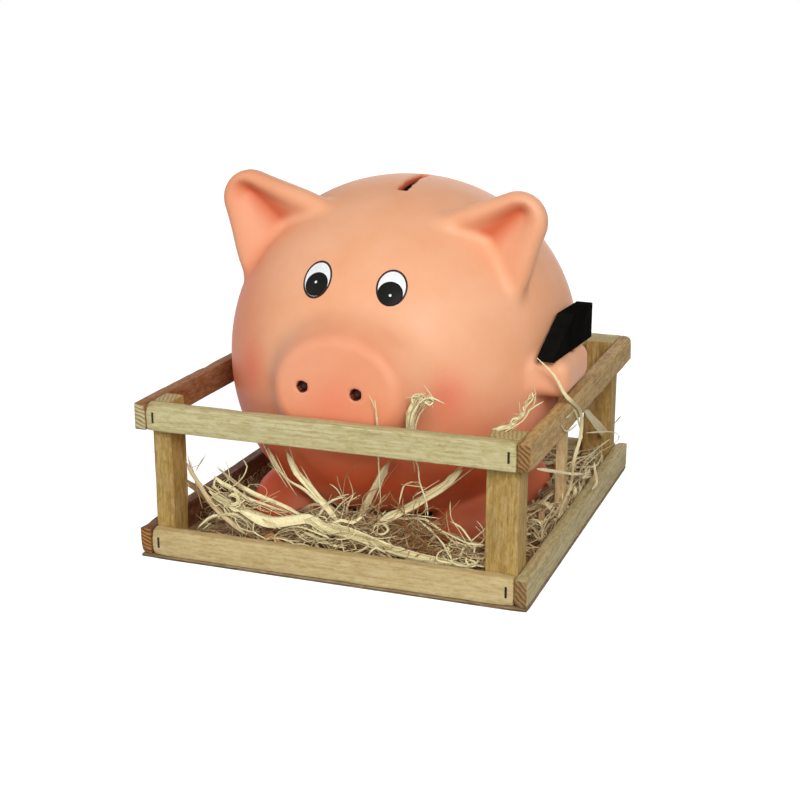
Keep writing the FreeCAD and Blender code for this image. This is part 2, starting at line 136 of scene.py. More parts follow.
class Nodes:
    """A new material with short calls for its nodes."""

    def __init__(self, name, roughness, specular):
        self.material = bpy.data.materials.new(name)
        self.material.use_nodes = True
        self.tree = self.material.node_tree
        self.surface({"Roughness": roughness, "Specular IOR Level": specular})

    def surface(self, inputs):
        """Set or link inputs of the material's own shader."""
        set_inputs(self.tree, self.tree.nodes["Principled BSDF"], inputs)

    def add(self, kind, out, inputs, operation=None):
        return add_node(self.tree, kind, out, inputs, operation)

    def place(self, scale=(1, 1, 1), shift=(0, 0, 0)):
        """The piece's own coordinates, scaled and shifted."""
        where = self.add("ShaderNodeTexCoord", "Object", {})
        return self.add("ShaderNodeMapping", "Vector", {"Vector": where, "Scale": scale, "Location": shift})

    def noise(self, vector, scale, detail=3.0, rough=0.5, distortion=0.0):
        inputs = {"Vector": vector, "Scale": scale, "Detail": detail}
        inputs |= {"Roughness": rough, "Distortion": distortion}
        return self.add("ShaderNodeTexNoise", "Fac", inputs)

    def rings(self, vector, scale, axis, distortion, detail_scale):
        node = self.tree.nodes.new("ShaderNodeTexWave")
        node.wave_type = "RINGS"
        node.rings_direction = axis
        node.wave_profile = "SAW"
        inputs = {"Vector": vector, "Scale": scale, "Distortion": distortion}
        set_inputs(self.tree, node, inputs | {"Detail": 2.0, "Detail Scale": detail_scale})
        return node.outputs["Fac"]

    def spread(self, value, low, high, to_low=0.0, to_high=1.0):
        inputs = {"Value": value, "From Min": low, "From Max": high, "To Min": to_low, "To Max": to_high}
        return self.add("ShaderNodeMapRange", "Result", inputs)

    def mix(self, share, first, second):
        node = self.tree.nodes.new("ShaderNodeMix")
        node.data_type = "RGBA"
        set_inputs(self.tree, node, {"Factor": share, "A": first, "B": second})
        return node.outputs["Result"]

    def maths(self, operation, first, second):
        return self.add("ShaderNodeMath", "Value", {0: first, 1: second}, operation)

    def attribute(self, name):
        node = self.tree.nodes.new("ShaderNodeAttribute")
        node.attribute_name = name
        return node.outputs["Fac"]

    def facing(self, axis):
        """How far the surface faces along an axis of the piece, from 0 to 1."""
        normal = self.add("ShaderNodeTexCoord", "Normal", {})
        return self.maths("ABSOLUTE", self.add("ShaderNodeSeparateXYZ", axis, {"Vector": normal}), 0.0)

    def round_mark(self, at, inner, outer):
        """A round mark on the pig's front, 1 at its middle and 0 outside it."""
        shift = (-at[0] * MM, -MARK_DEPTH * SNOUT["front"] * MM, -at[1] * MM)
        where = self.place((1, MARK_DEPTH, 1), shift)
        gap = self.add("ShaderNodeVectorMath", "Value", {0: where}, "LENGTH")
        return self.spread(gap, inner * MM, outer * MM, 1.0, 0.0)

    def bump(self, height, strength, distance):
        inputs = {"Height": height, "Strength": strength, "Distance": distance}
        self.surface({"Normal": self.add("ShaderNodeBump", "Normal", inputs)})


SKIN = linear(239, 177, 138)
SKIN_WARM = linear(233, 164, 121)
PAINTED_SHADE_AND_CLAY = linear(216, 72, 18)
BLUSH = linear(236, 112, 88)
EAR_BLUSH = linear(204, 96, 58)
NOSTRIL = linear(66, 16, 10)
NOSTRIL_SOFT = (-0.1, 0.35)


def skin_material():
    """Matt sprayed bisque, with a soft blush laid on by airbrush; a deep warm colour paints shade low down
    and at the left, and is also the raw clay in the slot.
    """
    n = Nodes("pig_bisque", roughness=0.5, specular=0.3)
    cloud = n.noise(n.place(), 28.0, 4.0, 0.55)
    speck = n.noise(n.place(), 900.0, 3.0, 0.6)
    base = n.mix(n.spread(cloud, 0.35, 0.7), SKIN, SKIN_WARM)
    grain = n.spread(speck, 0.3, 0.7, -0.10, 0.10)
    blush = n.maths("MULTIPLY", n.attribute("blush"), n.maths("ADD", grain, 1.0))
    # Painted shade: a deep warm colour low down and at the left, which is also the raw clay in the slot
    base = n.mix(n.attribute("low"), base, PAINTED_SHADE_AND_CLAY)
    base = n.mix(blush, base, BLUSH)
    base = n.mix(n.attribute("ear_blush"), base, EAR_BLUSH)
    for spot in NOSTRILS:
        base = n.mix(n.round_mark(spot, *(NOSTRIL_RADIUS + soft for soft in NOSTRIL_SOFT)), base, NOSTRIL)
    n.surface({"Base Color": base, "Roughness": n.spread(speck, 0.2, 0.8, 0.44, 0.56)})
    n.bump(speck, 0.06, 0.0004)
    return n.material


# Patches of brushed paint and of the cloudy plug: scale, reach and bump
BRUSHED = (420.0, 0.75, (0.10, 0.0002))
CLOUDY = (120.0, 0.7, (0.12, 0.0004))


def even_material(name, tones, roughness, specular, scale, high, bump):
    """Brushed paint or soft rubber: two close tones in fine patches, a little raised."""
    n = Nodes(name, roughness, specular)
    patches = n.noise(n.place(), scale, 4.0, 0.6)
    n.surface({"Base Color": n.mix(n.spread(patches, 0.35, high), *(linear(*tone) for tone in tones))})
    n.bump(patches, *bump)
    return n.material


def rubber_material():
    """Soft cloudy plug."""
    return even_material("stopper_rubber", ((206, 200, 188), (182, 175, 160)), 0.55, 0.4, *CLOUDY)


SAWDUST = 0.22
FIBRE_STRETCH = 0.03
RING_STRETCH = 0.05
FLECK_STRETCH = 0.3


def wood_material(name, axis, shift, tones, stained=0.35):
    """Rough sawn wood with its fibres along one axis and rings across it."""
    pale, dark, ring, end, end_ring = (linear(*tone) for tone in tones)
    bright = tuple(part + SAWDUST * (1.0 - part) for part in pale[:3]) + (1.0,)
    n = Nodes(name, roughness=0.7, specular=0.3)

    def along(stretch):
        scale = [1.0, 1.0, 1.0]
        scale["XYZ".index(axis)] = stretch
        return n.place(scale, shift)

    fibres = n.noise(along(FIBRE_STRETCH), 900.0, 5.0, 0.68, 0.4)
    bands = n.noise(along(FIBRE_STRETCH), 190.0, 4.0, 0.6, 0.5)
    growth = n.rings(along(RING_STRETCH), 150.0, axis, 4.5, 1.2)
    blotch = n.noise(along(1.0), 22.0, 3.0, 0.5)
    flecks = n.noise(along(FLECK_STRETCH), 560.0, 4.0, 0.7, 0.5)
    stain = n.noise(along(FLECK_STRETCH), 120.0, 6.0, 0.72, 0.6)
    colour = n.mix(n.spread(bands, 0.32, 0.72), pale, dark)
    for value, low, high, most, tone in (
        (growth, 0.55, 1.0, 0.24, ring),
        (fibres, 0.5, 0.72, 0.6, ring),
        (blotch, 0.45, 0.75, 0.3, dark),
        (flecks, 0.5, 0.68, 0.55, ring),
        (flecks, 0.5, 0.3, 0.4, bright),
        (stain, 0.5, 0.72, stained, ring),
    ):
        colour = n.mix(n.spread(value, low, high, 0.0, most), colour, tone)
    cut = n.spread(n.facing(axis), 0.55, 0.9, 0.0, 1.0)
    cut_colour = n.mix(n.spread(growth, 0.35, 0.75), end, end_ring)
    colour = n.mix(n.maths("MULTIPLY", cut, 0.9), colour, cut_colour)
    worn = n.maths("MULTIPLY", n.attribute("worn"), n.spread(fibres, 0.3, 0.65, 0.0, 0.75))
    colour = n.mix(worn, colour, ring)
    n.surface({"Base Color": colour, "Roughness": n.spread(fibres, 0.3, 0.8, 0.62, 0.82)})
    rough = n.maths("ADD", fibres, n.maths("MULTIPLY", growth, 0.35))
    n.bump(n.maths("SUBTRACT", rough, n.maths("MULTIPLY", flecks, 0.9)), 0.6, 0.0007)
    return n.material


STRAW_PALE = linear(245, 236, 188)
STRAW_DARK = linear(142, 86, 32)
STRAW_DEEP = linear(186, 146, 84)


def straw_material():
    """Split palm straw: dull pale strips with long fibres."""
    n = Nodes("straw", roughness=0.6, specular=0.3)
    fibres = n.noise(n.place(), 700.0, 4.0, 0.6, 0.5)
    colour = n.mix(n.attribute("tone"), STRAW_PALE, STRAW_DARK)
    n.surface({"Base Color": n.mix(n.spread(fibres, 0.45, 0.8, 0.0, 0.35), colour, STRAW_DEEP)})
    n.bump(fibres, 0.35, 0.0003)
    return n.material


def metal_material():
    """Dull dark wire."""
    n = Nodes("staple_steel", roughness=0.42, specular=0.5)
    tarnish = n.noise(n.place(), 900.0, 4.0, 0.6)
    colour = n.mix(n.spread(tarnish, 0.35, 0.7), linear(58, 52, 46), linear(26, 22, 20))
    rough = n.spread(tarnish, 0.3, 0.7, 0.34, 0.6)
    n.surface({"Base Color": colour, "Roughness": rough, "Metallic": 0.85})
    return n.material


def black_paint_material():
    """Satin black paint over wood."""
    n = Nodes("hammer_black", roughness=0.5, specular=0.0)
    fibres = n.noise(n.place((1, 0.08, 1)), 620.0, 4.0, 0.6)
    blotch = n.noise(n.place(), 60.0, 3.0, 0.5)
    colour = n.mix(n.spread(blotch, 0.4, 0.75), linear(19, 19, 17), linear(28, 27, 25))
    n.surface({"Base Color": colour, "Roughness": n.spread(fibres, 0.3, 0.75, 0.36, 0.55)})
    n.bump(fibres, 0.14, 0.0003)
    return n.material


# The pig as one field of distances, negative inside the ceramic

PIG = np.array((-1.4, 7.0, 94.0))
BODY_HALF = np.array((96.4, 101.0, 98.0))
BODY_POWER = 2.06
WALL = 5.0
BELLY_Z = 16.0
BOARD_TOP = 2.0
SNOUT = {"x": 1.8, "z": 96.8, "half_x": 32.0, "half_z": 27.2, "front": -106.0, "root": -60.0}
SNOUT_FLARE = 0.58
SNOUT_EDGE = 3.6
SNOUT_DOME = 1.2
NOSTRILS = ((-16.0, 99.3), (12.9, 97.8))
NOSTRIL_RADIUS = 3.0
NOSTRIL_DEPTH = 6.0
NOSTRIL_FLOOR = 1.5
MARK_DEPTH = 0.03
# An ear is a flap that widens from a round tip towards the head, upright and facing the front.
EARS = (
    {"tip": (-75.5, 181.0), "way": -45.7, "half": 25.5},
    {"tip": (74.1, 176.5), "way": 225.4, "half": 22.5},
)
EAR_TIP_RADIUS = 15.5
EAR_NARROWEST = 0.6
EAR_LENGTH = 42.0
EAR_Y = -34.0
EAR_HALF_THICK = 6.5
EAR_EDGE = 5.5
EAR_BACK = 5.0
EAR_BACK_INSET = 22.0
EAR_SWELL_BELOW = 2.4
EAR_SWELL_ABOVE = 1.2
EAR_SWELL_ALONG = (20.0, 15.0)
# The hollow in an ear's front, across it from -1 to 1, and in from its outline above and below
EAR_CUP = 7.5
CUP_RIM = (0.12, 0.92)
CUP_WIDTH = 1.15
CUP_FADE = 1.2
CUP_UPPER = (-0.5, 0.2)
CUP_INSET_ABOVE = (2.0, 12.0)
CUP_INSET_BELOW = (0.0, 16.0)
FOOT_ACROSS = 53.3
FOOT_ALONG = 35.0
FEET = tuple((PIG[0] + side * FOOT_ACROSS, PIG[1] + end * FOOT_ALONG) for end in (-1, 1) for side in (-1, 1))
FOOT_HALF = (24.5, 24.5, 24.0)
FOOT_Z = 6.0
SLOT = {"x": 6.6, "y": -1.0, "half_x": 3.0, "half_y": 21.0, "corner": 0.8}
BELLY_HOLE = 18.0
HANDLE = (96.0, -14.0)
HANDLE_HOLE = 4.0
HANDLE_YAW = math.radians(-4.5)
LUMP_LOW = np.array((79.0, -42.0, 86.5))
LUMP_HIGH = np.array((104.5, 8.0, 107.0))
LUMP_EDGE = 7.0
SEAT_HALF_WIDTH = 5.0
SEAT_HALF_LENGTH = 31.9
TAIL = {"y": 105.4, "z": 110.0, "ring": 8.0, "tighten": 1.5, "thick": 3.6, "thin": 2.2, "climb": 1.8}
# Softness of the seams between the pig's forms, and of the edges of its holes
SEAM = {"belly": 8.0, "snout": 4.0, "ear": 5.0, "foot": 5.0, "board": 3.0, "lump": 5.0, "tail": 1.2}
HOLE_EDGE = {"slot": 0.5, "nostril": 0.6, "handle": 0.8}


def join(first, second, soft):
    """Union of two fields with a rounded seam."""
    share = np.clip(0.5 + 0.5 * (second - first) / soft, 0, 1)
    return second * (1 - share) + first * share - soft * share * (1 - share)


def meet(first, second, soft):
    """Where two fields overlap, with a rounded edge."""
    return -join(-first, -second, soft)


def step(value, low, high):
    """Smooth step from 0 at low to 1 at high."""
    share = np.clip((value - low) / (high - low), 0, 1)
    return share * share * (3 - 2 * share)


def ball(x, y, z, centre, half, power):
    """Distance along the ray from the centre to a rounded body."""
    px, py, pz = x - centre[0], y - centre[1], z - centre[2]
    reach = np.abs(px / half[0]) ** power + np.abs(py / half[1]) ** power + np.abs(pz / half[2]) ** power
    reach = np.maximum(reach, 1e-9) ** (1 / power)
    return np.sqrt(px * px + py * py + pz * pz) * (1 - 1 / np.maximum(reach, 1e-4))


def rounded(first, second, radius):
    """Where two fields overlap, with a true round edge of this radius."""
    a, b = first + radius, second + radius
    outside = np.sqrt(np.maximum(a, 0) ** 2 + np.maximum(b, 0) ** 2)
    return outside + np.minimum(np.maximum(a, b), 0) - radius


def hump(value, at, width):
    """A smooth hump, 1 at its middle."""
    return np.exp(-(((value - at) / width) ** 2))


def off_axis(one, two, at):
    """Distance from the axis that crosses the plane of two coordinates at a spot."""
    return np.sqrt((one - at[0]) ** 2 + (two - at[1]) ** 2)


def body_field(x, y, z):
    return ball(x, y, z, PIG, BODY_HALF, BODY_POWER)


def ear_plan(ear, x, z):
    """Distance from the ear's outline, how far along it a point is, and how far across, from -1 to 1."""
    way, half = math.radians(ear["way"]), math.radians(ear["half"])
    along = (math.cos(way), math.sin(way))
    up = (-along[1], along[0]) if along[0] > 0 else (along[1], -along[0])
    px, pz = x - ear["tip"][0], z - ear["tip"][1]
    u = px * along[0] + pz * along[1]
    v = px * up[0] + pz * up[1]
    tip, slope, flat = EAR_TIP_RADIUS, math.sin(half), math.cos(half)
    side = np.abs(v)
    at = slope * side + flat * u
    root = np.sqrt(side**2 + (u - EAR_LENGTH) ** 2) - (tip + EAR_LENGTH * slope)
    outline = np.where(at > flat * EAR_LENGTH, root, flat * side - slope * u - tip)
    outline = np.where(at < 0, np.sqrt(side**2 + u**2) - tip, outline)
    swell = np.where(v < 0, EAR_SWELL_BELOW, EAR_SWELL_ABOVE) * hump(u, *EAR_SWELL_ALONG)
    width = np.maximum(tip + u * slope, tip * EAR_NARROWEST) / flat
    return outline - swell * np.clip(side / width, 0, 1), u, v / width


def ear_cup(outline, across):
    """How deep the ear's front is hollowed: most just under the upper rim."""
    under_rim = 1 - step(across, *CUP_RIM)
    fade = np.clip((across + 1.0) / CUP_WIDTH, 0, 1) ** CUP_FADE
    upper = step(across, *CUP_UPPER)
    inset = upper * step(-outline, *CUP_INSET_ABOVE) + (1 - upper) * step(-outline, *CUP_INSET_BELOW)
    return under_rim * fade * inset


def ear_field(ear, x, y, z):
    outline, _, across = ear_plan(ear, x, z)
    deep = np.clip(-outline / EAR_BACK_INSET, 0, 1)
    front = EAR_Y - EAR_HALF_THICK + EAR_CUP * ear_cup(outline, across)
    back = EAR_Y + EAR_HALF_THICK + EAR_BACK * deep * (2 - deep)
    return rounded(outline, np.maximum(front - y, y - back), EAR_EDGE)


def outer_field(x, y, z):
    """The pig's outside, before any hole is cut."""
    field = meet(body_field(x, y, z), BELLY_Z - z, SEAM["belly"])

    sx, sz = (x - SNOUT["x"]) / SNOUT["half_x"], (z - SNOUT["z"]) / SNOUT["half_z"]
    reach = np.maximum(np.sqrt(sx * sx + sz * sz), 1e-6)
    side = off_axis(x, z, (SNOUT["x"], SNOUT["z"])) * (1 - 1 / reach) - SNOUT_FLARE * (y - SNOUT["front"])
    face = SNOUT["front"] + np.minimum(reach, SNOUT_DOME) ** 2 - y
    snout = np.maximum(rounded(side, face, SNOUT_EDGE), y - SNOUT["root"])
    field = join(field, snout, SEAM["snout"])

    for ear in EARS:
        field = join(field, ear_field(ear, x, y, z), SEAM["ear"])
    for fx, fy in FEET:
        field = join(field, ball(x, y, z, (fx, fy, FOOT_Z), FOOT_HALF, 2.0), SEAM["foot"])
    field = meet(field, BOARD_TOP - z, SEAM["board"])

    middle, half = (LUMP_LOW + LUMP_HIGH) / 2, (LUMP_HIGH - LUMP_LOW) / 2 - LUMP_EDGE
    qx, qy, qz = (np.abs(value - middle[n]) - half[n] for n, value in enumerate((x, y, z)))
    lump = np.sqrt(np.maximum(qx, 0) ** 2 + np.maximum(qy, 0) ** 2 + np.maximum(qz, 0) ** 2)
    lump = lump + np.minimum(np.maximum(np.maximum(qx, qy), qz), 0) - LUMP_EDGE
    field = join(field, lump, SEAM["lump"])

    turn = np.arctan2(x - PIG[0], TAIL["z"] - z) / (2 * math.pi) + 0.5
    ring = off_axis(x, z, (PIG[0], TAIL["z"])) - (TAIL["ring"] - TAIL["tighten"] * turn)
    tail = np.sqrt(ring**2 + (y - TAIL["y"] - TAIL["climb"] * turn) ** 2)
    tail = tail - (TAIL["thick"] + (TAIL["thin"] - TAIL["thick"]) * turn)
    return join(field, tail, SEAM["tail"])


def pig_field(x, y, z):
    """The hollow pig with its coin slot, nostrils, belly hole, handle hole and hammer seat."""
    hollow = np.maximum(body_field(x, y, z) + WALL, BELLY_Z + WALL - z)
    field = np.maximum(outer_field(x, y, z), -hollow)

    sx, sy = np.abs(x - SLOT["x"]) - SLOT["half_x"], np.abs(y - SLOT["y"]) - SLOT["half_y"]
    slot = rounded(sx, sy, SLOT["corner"])
    field = meet(field, -np.maximum(slot, PIG[2] - z), HOLE_EDGE["slot"])
    for spot in NOSTRILS:
        hole = off_axis(x, z, spot) - NOSTRIL_RADIUS
        hole = rounded(hole, y - SNOUT["front"] - NOSTRIL_DEPTH, NOSTRIL_FLOOR)
        field = meet(field, -hole, HOLE_EDGE["nostril"])
    belly = np.maximum(off_axis(x, y, PIG) - BELLY_HOLE, z - BELLY_Z - 3 * WALL)
    field = np.maximum(field, -belly)
    field = meet(field, HANDLE_HOLE - off_axis(x, y, HANDLE), HOLE_EDGE["handle"])

    hx, hy = x - HANDLE[0], y - HANDLE[1]
    across = hx * math.cos(HANDLE_YAW) + hy * math.sin(HANDLE_YAW)
    length = -hx * math.sin(HANDLE_YAW) + hy * math.cos(HANDLE_YAW)
    seat = np.maximum(-SEAT_HALF_WIDTH - across, np.abs(length) - SEAT_HALF_LENGTH)
    return np.maximum(field, -np.maximum(seat, LUMP_HIGH[2] - z))


SLOPE_GAP = 0.05


def slope_of(field, points):
    """The field and its slope at each point."""
    gaps = SLOPE_GAP * np.eye(3)
    slope = np.stack([field(*(points + gap).T) - field(*(points - gap).T) for gap in gaps], axis=1)
    return field(*points.T), slope / (2 * SLOPE_GAP)


def onto(field, points, rounds, most):
    """Move points onto the field's surface."""
    for _ in range(rounds):
        value, slope = slope_of(field, points)
        move = slope * (value / np.maximum((slope**2).sum(1), 0.2))[:, None]
        size = np.linalg.norm(move, axis=1, keepdims=True)
        points = points - move * np.minimum(1, most / np.maximum(size, 1e-9))
    return points


AXES = np.eye(3, dtype=int)
CORNERS = np.array([(i, j, k) for i in (0, 1) for j in (0, 1) for k in (0, 1)])


def skin_of(field, low, high, pitch):
    """Points and four-cornered faces of the field's surface, one point for each cell that it crosses."""
    axes = [np.arange(low[n], high[n] + pitch, pitch) for n in range(3)]
    grid = field(*np.meshgrid(*axes, indexing="ij", sparse=True)).astype(np.float32)
    inside = grid < 0
    shape = np.array(grid.shape) - 1
    count = np.zeros(shape, np.int8)
    for corner in CORNERS:
        count += inside[tuple(slice(c, c + size) for c, size in zip(corner, shape))]
    cells = np.argwhere((count > 0) & (count < 8))
    number = -np.ones(shape, np.int64)
    number[tuple(cells.T)] = np.arange(len(cells))
    total, crossings = np.zeros((len(cells), 3)), np.zeros(len(cells))
    for start in CORNERS:
        for way in AXES[start == 0]:
            first, second = grid[tuple((cells + start).T)], grid[tuple((cells + start + way).T)]
            crosses = (first < 0) != (second < 0)
            share = np.where(crosses, first / np.where(crosses, first - second, 1), 0)
            total += (start + share[:, None] * way) * crosses[:, None]
            crossings += crosses
    points = (cells + total / crossings[:, None]) * pitch + np.array([a[0] for a in axes])
    faces = []
    for axis in range(3):
        sides = [(axis + 1) % 3, (axis + 2) % 3]
        edges = np.argwhere(np.diff(inside, axis=axis))
        edges = edges[((edges > 0) & (edges < shape))[:, sides].all(1)]
        one, two = AXES[sides]
        around = (edges, edges - one, edges - one - two, edges - two)
        quad = np.stack([number[tuple(cell.T)] for cell in around], axis=1)
        leaving = inside[tuple(edges.T)]
        faces.append(np.where(leaving[:, None], quad, quad[:, ::-1]))
    return points, np.concatenate(faces)


PITCH = 1.6
GRID_LOW = (-100, -110, 0)
GRID_HIGH = (108, 114, 202)
# Dabs of blush: middle, size and strength
DABS = (
    ((-57.6, -73.9, 99.4), 12.5, 0.62),
    ((50.6, -77.5, 93.4), 12.5, 0.6),
    ((1.0, -105.0, 93.0), 12.0, 0.36),
)
# Blush in the ears: a ridge along each, and a little warmth over the whole front of it
OFF_HEAD = (1.0, 6.0)
EAR_FRONT = EAR_Y + 5.0
EAR_FADE = (0.0, 4.0)
RIDGE_ACROSS = (0.24, 0.30)
RIDGE_INSET = (3.0, 11.0)
RIDGE_END = (26.0, 46.0)
EAR_WARMTH = 0.15
EAR_SHARE = 0.8
# The deep warm colour, painted shade low down and at the left, more warmth on the snout and raw clay on the
# walls of the slot: where each part of it sets in, and the share of each
LOW_HEIGHTS = (33.0, 108.0)
LOW_FRONT = (90.0, 104.0)
LOW_FRONT_LOSS = 0.35
FOOT_HEIGHTS = (22.0, 44.0)
FOOT_SHARES = (0.72, 0.28)
LEFT_SIDE = (34.0, 100.0)
TOP_HEIGHTS = (120.0, 140.0)
LEFT_EAR_LOSS = 0.7
RAW_DEPTHS = (0.3, 1.5)
SNOUT_REACH = 22.0
SHADE_AND_CLAY_SHARES = {"low": 0.88, "left": 0.62, "snout": 0.24, "raw": 0.75}
SHADE_AND_CLAY_MOST = 0.92


def ear_blush(points):
    """The share of blush in the ears."""
    x, y, z = points.T
    blush = np.zeros(len(points))
    front, off_head = step(EAR_FRONT - y, *EAR_FADE), step(body_field(x, y, z), *OFF_HEAD)
    for ear in EARS:
        outline, u, across = ear_plan(ear, x, z)
        ridge = hump(across, *RIDGE_ACROSS) * step(-outline, *RIDGE_INSET)
        blush += ridge * front * off_head * (1 - step(u, *RIDGE_END))
        blush += EAR_WARMTH * front * off_head * step(-outline, *EAR_FADE)
    return EAR_SHARE * blush


def painted_shade_and_clay(points):
    """The share of the deep warm colour: painted shade low down and at the left, more warmth on the snout,
    and the raw clay on the walls of the slot.
    """
    x, y, z = points.T
    depth, top = body_field(x, y, z), step(z, *TOP_HEIGHTS)
    low = (1 - step(z, *LOW_HEIGHTS)) * (1 - LOW_FRONT_LOSS * step(-y, *LOW_FRONT))
    low *= FOOT_SHARES[0] + FOOT_SHARES[1] * step(z, *FOOT_HEIGHTS)
    left = step(-x, *LEFT_SIDE) * (1 - LEFT_EAR_LOSS * step(depth, *OFF_HEAD) * top)
    snout = step(SNOUT["front"] + SNOUT_REACH - y, 0.0, SNOUT_REACH)
    raw = step(-depth, *RAW_DEPTHS) * top
    parts = {"low": low, "left": left, "snout": snout, "raw": raw}
    return np.clip(sum(share * parts[name] for name, share in SHADE_AND_CLAY_SHARES.items()), 0, SHADE_AND_CLAY_MOST)


def make_pig():
    pitch = PITCH
    points, faces = skin_of(pig_field, GRID_LOW, GRID_HIGH, pitch)
    points = onto(pig_field, points, rounds=4, most=0.6 * pitch)
    item = new_object("pig_skin", points, faces.tolist(), [skin_material()])
    blush = np.zeros(len(points))
    for at, size, share in DABS:
        blush += share * hump(np.linalg.norm(points - np.array(at), axis=1), 0, size)
    point_values(item, "blush", np.clip(blush, 0, 1))
    point_values(item, "ear_blush", np.clip(ear_blush(points), 0, 1))
    # The deep warm colour: painted shade low down and at the left, and raw clay in the slot
    point_values(item, "low", painted_shade_and_clay(points))
    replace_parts(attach(item, "pig"), "pig_body")


# Painted eyes: thin coats that follow the skin

EYES = {
    "left": {
        "at": (-18.9, -75.1, 147.5), "half": (8.3, 10.6), "lean": 6.6,
        "pupil": (0.5, -2.7), "glint": (0.0, -1.8),
    },
    "right": {
        "at": (20.9, -74.9, 145.9), "half": (8.0, 9.9), "lean": -7.6,
        "pupil": (-0.7, -3.4), "glint": (-0.6, -4.3),
    },
}
PUPIL_HALF = (6.5, 6.5)
GLINT_HALF = (0.75, 0.75)
RIM_WIDTH = 0.95
WHITE_INSET = 0.3
PAINT_DEPTH = 0.4
# How far each coat lifts off the skin at its edge, and how much more in its middle
COATS = {"white": (0.05, 0.15), "outline": (0.1, 0.14), "pupil": (0.24, 0.2), "glint": (0.42, 0.15)}


def coat(name, eye, centre, half, inner, lift, crown, material):
    """A closed coat of paint, a disc or a ring, on the skin."""
    at = onto(outer_field, np.array([eye["at"]]), 6, 2.0)
    _, normal = slope_of(outer_field, at)
    normal = normal[0] / np.linalg.norm(normal[0])
    right = np.cross((0, 0, 1), normal)
    right /= np.linalg.norm(right)
    up = np.cross(normal, right)
    lean = math.radians(eye["lean"])
    wide = right * math.cos(lean) + up * math.sin(lean)
    tall = up * math.cos(lean) - right * math.sin(lean)
    rings, round_ = 8, 56
    spots, levels = [], []
    for ring in range(rings + 1):
        share = inner + (1 - inner) * ring / rings
        for n in range(round_):
            turn = 2 * math.pi * n / round_
            spots.append(
                at[0] + right * centre[0] + up * centre[1]
                + wide * half[0] * share * math.cos(turn) + tall * half[1] * share * math.sin(turn)
            )
            edge = (ring / rings) if inner == 0 else abs(2 * ring / rings - 1)
            levels.append(lift + crown * (1 - edge**2))
    base = onto(outer_field, np.array(spots), 6, 2.0)
    _, normals = slope_of(outer_field, base)
    normals /= np.linalg.norm(normals, axis=1, keepdims=True)
    top = base + normals * np.array(levels)[:, None]
    under = base - normals * PAINT_DEPTH
    points = np.concatenate([top, under])
    below = len(top)
    faces = []
    pairs = [[(ring + n, ring + (n + 1) % round_) for n in range(round_)] for ring in range(0, below, round_)]
    for pair in pairs[:-1]:
        for a, b in pair:
            c, d = b + round_, a + round_
            faces.append((a, d, c, b))
            faces.append((below + a, below + b, below + c, below + d))
    faces += [(a, below + a, below + b, b) for a, b in pairs[-1]]
    if inner > 0:
        faces += [(a, b, below + b, below + a) for a, b in pairs[0]]
    item = new_object(name, points, faces, [material])
    if inner == 0:
        merge = item.modifiers.new("centre", "WELD")
        merge.merge_threshold = 1e-6
    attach(item, "pig")


def make_eyes():
    white = even_material("eye_white", ((240, 242, 242), (222, 226, 228)), 0.35, 0.5, *BRUSHED)
    black = even_material("eye_black", ((8, 8, 7), (24, 23, 21)), 0.42, 0.1, *BRUSHED)
    brown = even_material("eye_outline", ((58, 22, 14), (30, 12, 8)), 0.4, 0.2, *BRUSHED)
    for side, eye in EYES.items():
        half = eye["half"]
        inside = (half[0] - WHITE_INSET, half[1] - WHITE_INSET)
        rim = 1 - RIM_WIDTH / half[0]
        coat(f"eye_white_{side}", eye, (0, 0), inside, 0, *COATS["white"], white)
        coat(f"eye_outline_{side}", eye, (0, 0), half, rim, *COATS["outline"], brown)
        coat(f"eye_pupil_{side}", eye, eye["pupil"], PUPIL_HALF, 0, *COATS["pupil"], black)
        coat(f"eye_glint_{side}", eye, eye["glint"], GLINT_HALF, 0, *COATS["glint"], white)


# Sawn wood with worn edges

GRID_ALONG = 3.0
GRID_ACROSS = 2.6
EDGE_BAND = 2.6
NICKS = 5
END_NICKS = 2
NICK_STRETCH = 0.55
# Unevenness of the faces: its share of the edge's radius, its scale and the shift of its seed
DENTS = ((0.16, 0.045, 0), (0.10, 0.25, 9))


def uneven(spot, scale, seed):
    return noise.noise(Vector(spot) * scale + Vector((seed * 7.31, seed * 3.17, seed * 5.53)))


def unit(value):
    return min(1.0, max(0.0, value))


def box_of(node):
    """The low and high corners of a CAD node in millimetres."""
    return (np.array(corner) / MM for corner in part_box(node))


def marks(low, high, edge, gap):
    """Grid lines along one side of a block, closer at its edges."""
    inner = max(2, round((high - low - 2 * edge) / gap))
    middle = [low + edge + (high - low - 2 * edge) * n / inner for n in range(inner + 1)]
    return [low, low + 0.3 * edge] + middle + [high - 0.3 * edge, high]


